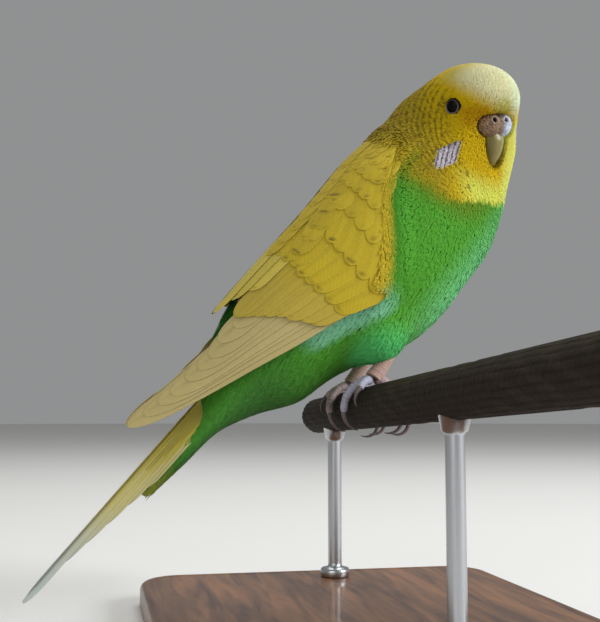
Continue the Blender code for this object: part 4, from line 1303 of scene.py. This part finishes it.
upper = makeBill("upperBill", bill["upper"], 70, -1)
finishPiece(upper, materials["horn"], "bill_upper", "bill_upper")
lower = makeBill("lowerBill", bill["lower"], 40, 1)
finishPiece(lower, materials["horn"], "bill_lower", "bill_lower")


# Legs

perch = {
    "radius": 5.4, "point": (0.0, -10.4, 1.0), "slope": -0.0443, "ends": (-140.0, 52.0),
    "cutRings": (0.8, 0.55, 0.3, 0.1), "ringSpacing": 0.55,  # of the cut ends, and of their year rings
    **palette(dark=(30, 22, 16), light=(50, 40, 29), green=(54, 50, 22),
              paleCut=(150, 122, 84), darkCut=(104, 80, 52)),
}
legs = {
    # start and end angle from the perch's top, drift along it, radius, the claw's reach and
    # how far it hangs off
    "toes": ((6.0, 100.0, -3.4, 1.2, 58.0, 0.45), (6.0, 50.0, 6.5, 1.15, 45.0, 0.4),
             (-8.0, -92.0, -3.0, 1.3, 58.0, 3.2), (-10.0, -96.0, 2.8, 1.3, 58.0, 3.4)),
    "feet": {"leg_right": -11.0, "leg_left": 11.0},
    "shankScutes": 13, "toeScutes": 12, "pads": 4,
    **palette(skin=(168, 136, 124), skinBlue=(166, 172, 196), fold=(116, 86, 80), claw=(92, 80, 80)),
}


def perchAxis(y):
    # height of the perch's axis, a straight line
    return perch["point"][2] + perch["slope"] * (y - perch["point"][1])


def roundPerch(angle, radius, y):
    # angle in degrees from the perch's top, positive towards the tail
    angle = np.radians(angle)
    up = perchAxis(y) + radius * np.cos(angle)
    return np.stack(np.broadcast_arrays(-radius * np.sin(angle), y, up), -1)


def ringsRound(path, radii, first, around):
    # circles of the given radii round a path, the first axis across it
    step = unit(np.gradient(path, axis=0))
    across = unit(np.cross(step, first))
    up = np.cross(across, step)
    angle = circle(around)[:, None]
    ring = np.cos(angle) * across[:, None] + np.sin(angle) * up[:, None]
    return path[:, None] + radii[:, None, None] * ring


def scuted(path, radii, first, around, t, count, height, tone, foldWidth, foldDark):
    # a limb whose radius rises by height over each of count scutes, dark in the folds between them
    wave = np.abs(np.sin(t * math.pi * count))
    ring = ringsRound(path, radii * (1 + height * wave), first, around)
    fold = ease(foldWidth, 0.0, wave)[:, None] + np.zeros((1, around))
    return withMap(ring, mix(tone, legs["fold"], foldDark * fold))


def makeToe(footY, side, start, end, drift, radius, hook, hang, blue):
    # one toe laid round the perch, and its claw beyond it
    t = np.linspace(0, 1, 70)
    outer = perch["radius"] + 0.4
    thick = radius * (1.0 - 0.25 * t)
    pads = 1 + 0.10 * np.abs(np.sin(t * math.pi * legs["pads"])) - 0.05
    path = roundPerch(start + (end - start) * t, outer + thick, footY + side * drift * t)
    upward = unit(path - roundPerch(0.0, 0.0, path[:, 1]))
    radii = thick * pads * np.sqrt(np.clip((1.04 - t) / 0.1, 0, 1))
    tone = mix(legs["skin"], legs["skinBlue"], blue)
    toe = scuted(path, radii, upward, 22, t, legs["toeScutes"], 0.06, tone, 0.3, 0.65)
    t = np.linspace(0, 1, 30)
    thick = radius * (0.62 - 0.45 * t) * np.sqrt(np.clip((1.02 - t) / 0.2, 0, 1))
    lift = outer + radius * 0.75 - 0.5 * radius * t + hang * np.sin(math.pi * t * 0.85) + 0.1
    reach = math.copysign(hook, end - start)
    path = roundPerch(end + reach * (t - 0.04), lift, footY + side * drift * (1 + 0.25 * t))
    upward = unit(path - roundPerch(0.0, 0.0, path[:, 1]))
    ring = ringsRound(path, thick, upward, 16)
    return toe, withMap(ring, legs["claw"] * (1.25 - 0.5 * t)[:, None, None])


def makeLeg(name, footY):
    # shank and toes with raised scutes, each toe ending in its own claw
    side = 1 if footY > 0 else -1
    ankle = roundPerch(0.0, perch["radius"] + 1.9, footY)[2]
    shank = ((5.2, footY * 0.92, 17.0, 2.4), (2.6, footY * 0.97, 11.5, 1.9), (0.2, footY, ankle, 2.2))
    shank = curveThrough(shank, 60)
    t = np.linspace(0, 1, 60)
    first = np.array([1.0, 0, 0])
    scutes = (t, legs["shankScutes"], 0.05, legs["skin"], 0.25, 0.7)
    flesh, claws = [scuted(shank[:, :3], shank[:, 3], first, 24, *scutes)], []
    for number, values in enumerate(legs["toes"]):
        blue = 0.8 if (number < 2) == (side < 0) else 0.25
        toe, claw = makeToe(footY, side, *values, blue)
        flesh.append(toe)
        claws.append(claw)
    finishPiece(addMesh("foot" + sideName(side), *joined(flesh)), materials["foot"], name, name)
    finishPiece(addMesh("claws" + sideName(side), *joined(claws)), materials["horn"], name, name)


for name, footY in legs["feet"].items():
    makeLeg(name, footY)


# Perch and stand

def makePerch():
    # grooves run along the wood, 0.2 mm deep where crossed waves dip, and the ends are cut flat
    y, turn = np.linspace(*perch["ends"], 420), circle(120)
    yy, tt = np.meshgrid(y, turn, indexing="ij")
    groove = np.abs(np.sin(11 * tt + 0.5 * np.sin(0.05 * yy) + 0.16 * np.sin(0.31 * yy)))
    knots = np.sin(3 * tt + 0.23 * yy) * np.sin(0.31 * yy + 1.7 * np.sin(2 * tt))
    radius = perch["radius"] - 0.02 - 0.22 * (1 - groove) ** 3 - 0.1 * ease(0.2, 0.9, knots)
    radius = radius - 0.35 * (1 - ease(0, 0.8, yy - y[0]) * ease(0, 0.8, y[-1] - yy))
    ring = np.stack([radius * np.cos(tt), yy, perchAxis(yy) + radius * np.sin(tt)], -1)
    colour = layered(
        perch["dark"],
        (perch["light"], 0.45 * ease(0.2, 1.0, knots) + 0.2 * groove),
        (perch["green"], 0.4 * ease(0.3, 0.95, np.sin(tt)) * ease(-0.5, 0.6, knots)),
        (perch["dark"] * 0.5, 0.7 * ease(0.5, 0.0, groove)),
    )
    # the cut ends: rings that shrink to the axis, darker along the year rings
    shrink = np.array(perch["cutRings"])[:, None, None]
    near, far = ((0.0, end, perchAxis(end)) for end in y[[0, -1]])
    caps = [near + (ring[0] - near) * shrink[::-1], far + (ring[-1] - far) * shrink]
    ring = np.concatenate([caps[0], ring, caps[1]])
    age = waves(perch["radius"] * shrink[:, 0, 0], perch["ringSpacing"])
    cut = mix(perch["paleCut"], perch["darkCut"], age)[:, None].repeat(len(turn), 1)
    return addMesh("perchBark", *withMap(ring, np.concatenate([cut[::-1], colour, cut])))


finishPiece(makePerch(), materials["bark"], "perch", "perch")


stand = {
    "x": (-56.0, 48.0), "y": (-88.0, 44.0), "height": 7.0, "corner": 12.0,
    "rod": 2.0, "rodY": {"stand_rod_near": -70.0, "stand_rod_far": 30.0},
    **palette(steel=(186, 188, 192), wood=(130, 90, 60), darkGrain=(74, 46, 28),
              lightGrain=(142, 96, 60)),
}


def stretchedNoise(tree, place, scale, **values):
    # noise drawn out along one way, and the stretched place it was read at
    stretched = nodeIn(tree, "Mapping", {"Vector": place, "Scale": scale}).outputs[0]
    return nodeIn(tree, "TexNoise", {"Vector": stretched, **values}).outputs[0], stretched


def makeWood():
    # long grain: noise stretched along the boards' length drives colour and bump
    made, tree, shader, place = newMaterial("walnut base", 0.42, coat=0.35)
    noise, _ = stretchedNoise(tree, place, (60.0, 6.0, 60.0), Scale=4.0, Detail=6.0, Distortion=0.8)
    ramp = nodeIn(tree, "ValToRGB", {0: noise})
    grains = ((0.32, stand["darkGrain"]), (0.68, stand["lightGrain"]))
    for element, (position, colour) in zip(ramp.color_ramp.elements, grains):
        element.position, element.color = position, (*colour, 1)
    mottled(tree, shader, place, ramp.outputs[0], 300.0, 0.3)
    bumped(tree, shader, noise, 0.25, 0.0002)
    return made


def makeSteel():
    # fine noise stretched up the rods
    made, tree, shader, place = newMaterial("brushed steel", 0.3, metallic=1.0)
    noise, stretched = stretchedNoise(tree, place, (900.0, 900.0, 40.0), Scale=3.0, Detail=3.0)
    mottled(tree, shader, stretched, (*stand["steel"], 1), 3.0, 0.18)
    bumped(tree, shader, noise, 0.2, 0.00005)
    return made


materials["wood"], materials["steel"] = makeWood(), makeSteel()


def makeBase():
    # a rounded rectangle whose edge profile is carried from the felt up over the top
    quarter = np.linspace(0, math.pi / 2, 24)
    outline = []
    for number, (cx, cy) in enumerate(((1, 1), (0, 1), (0, 0), (1, 0))):
        angle = quarter + number * math.pi / 2
        x = stand["x"][cx] + (-stand["corner"] if cx else stand["corner"])
        y = stand["y"][cy] + (-stand["corner"] if cy else stand["corner"])
        outline.append(np.stack([x + 0 * angle, y + 0 * angle, np.cos(angle), np.sin(angle)], -1))
    outline = np.concatenate(outline)
    # inset and height: felt, side, rounded edge, a shallow groove and the top
    bend = np.linspace(0, math.pi / 2, 9)[1:]
    profile = [(1.0, 0.0), (0.3, 0.25), (0.0, 0.9), (0.0, 2.5), (0.0, 4.6)]
    profile += [(2.4 - 2.4 * math.cos(b), 4.6 + 2.4 * math.sin(b)) for b in bend]
    profile += [(3.6, 6.98), (4.2, 6.75), (4.8, 6.98), (5.5, stand["height"])]
    rings = []
    for inset, z in profile:
        edge = outline[:, :2] + outline[:, 2:] * (stand["corner"] - inset)
        rings.append(np.column_stack([edge, np.full(len(edge), z - perchHeight)]))
    middle = np.array([sum(stand["x"]) / 2, sum(stand["y"]) / 2, 0.0])
    top = rings[12]
    for f in (0.8, 0.5, 0.2):
        rings.append(middle * (1 - f) + top * (f, f, 1))
    return addMesh("standBase", *withMap(np.array(rings), stand["wood"]))


def makeRod(name, y):
    # foot, shaft and a cup that follows the perch's under side
    low, r = stand["height"] - perchHeight, stand["rod"]
    high = perchAxis(y) - perch["radius"] + 0.6
    profile = [(3.9, low + 0.02), (4.2, low + 0.3), (4.2, low + 2.0), (3.9, low + 2.5)]
    profile += [(2.5, low + 2.9), (r, low + 3.2)]
    profile += [(r, z) for z in np.linspace(low + 4, high - 3.4, 14)]
    profile += [(r, high - 3.0), (2.7, high - 2.6), (3.3, high - 1.6), (3.5, high - 0.4), (3.3, high)]
    radius, z = np.array(profile).T[..., None]
    turn = circle(40)
    x = radius * np.cos(turn)
    z = z + 0 * turn
    saddle = perchAxis(y) - np.sqrt(np.maximum(perch["radius"] ** 2 - x**2, 1.0)) + 0.15
    z[-3:] = np.minimum(z[-3:] + 3.0, saddle[-3:])
    z[-4] = np.minimum(z[-4], saddle[-4])
    rings = np.stack([x, y + radius * np.sin(turn), z], -1)
    return addMesh(name, *withMap(rings, stand["steel"]))


finishPiece(makeBase(), materials["wood"], "stand_base", "stand_base")
for node, y in stand["rodY"].items():
    finishPiece(makeRod("rodNear" if y < 0 else "rodFar", y), materials["steel"], node, node)


# Floor, light and camera

studio = {
    "floor": linear(226, 225, 222), "sky": 0.3, "skyColour": (0.93, 0.94, 0.95, 1.0),
    "floorRings": (0.02, 0.3, 0.6, 1.0, 1.6, 2.4, 3.4),  # metres
    # place and size in metres, power in watts, colour
    "lamps": {
        "key": ((0.85, -0.5, 0.55), 0.5, 12.0, (0.97, 0.99, 1.0)),
        "fill": ((-0.7, -0.8, 0.5), 0.8, 3.0, (1.0, 0.98, 0.94)),
        "top": ((0.1, 0.3, 0.95), 0.7, 4.5, (1.0, 1.0, 1.0)),
    },
    "lampAim": (0.0, 0.0, 0.09),
    "focal": 1000.0, "frame": 622.0,  # pixels
    "eye": (-70.757, -258.819, 0.755), "pitch": 5.54, "yaw": -11.8,
}


def makeFloor():
    # a wide flat disc that fills the view
    radius, turn = np.array(studio["floorRings"])[:, None], circle(96)
    rings = np.stack([radius * np.cos(turn), radius * np.sin(turn), 0 * radius * turn], -1)
    points = np.concatenate([rings.reshape(-1, 3), [[0.0, 0.0, 0.0]]])
    quads = gridQuads(len(radius), len(turn))[:, ::-1]
    c = np.arange(len(turn))
    fan = np.stack([c, (c + 1) % len(turn), 0 * c + len(points) - 1], 1)
    mesh = bpy.data.meshes.new("studioFloor")
    mesh.from_pydata(points.tolist(), [], [*quads.tolist(), *fan.tolist()])
    floor = bpy.data.objects.new("studioFloor", mesh)
    bpy.context.scene.collection.objects.link(floor)
    made, tree, shader, place = newMaterial("pale floor", 0.8)
    mottled(tree, shader, place, (*studio["floor"], 1), 6.0, 0.03)
    mesh.materials.append(made)


def lampAt(name, place, size, power, colour):
    # an area lamp turned to face the bird
    light = bpy.data.lights.new(name, "AREA")
    light.size, light.energy, light.color = size, power, colour
    lamp = bpy.data.objects.new(name, light)
    lamp.location = place
    x, y, z = np.subtract(studio["lampAim"], place)
    lamp.rotation_euler = (math.atan2(math.hypot(x, y), -z), 0.0, math.atan2(-x, y))
    bpy.context.scene.collection.objects.link(lamp)


makeFloor()
for name, values in studio["lamps"].items():
    lampAt(name, *values)
world = bpy.data.worlds.new("studio")
world.use_nodes = True
background = world.node_tree.nodes["Background"].inputs
background[0].default_value, background[1].default_value = studio["skyColour"], studio["sky"]
bpy.context.scene.world = world
lens = bpy.data.cameras.new("photoView")
lens.sensor_width = 36.0
lens.lens = studio["focal"] / studio["frame"] * lens.sensor_width
lens.clip_start, lens.clip_end = 0.01, 50.0
camera = bpy.data.objects.new("photoView", lens)
camera.location = (np.array(studio["eye"]) + (0.0, 0.0, perchHeight)) * millimetre
camera.rotation_euler = (math.radians(90.0 + studio["pitch"]), 0.0, math.radians(studio["yaw"]))
bpy.context.scene.collection.objects.link(camera)
bpy.context.scene.camera = camera
bpy.context.scene.view_settings.view_transform = "Standard"
print("camera and light ready")
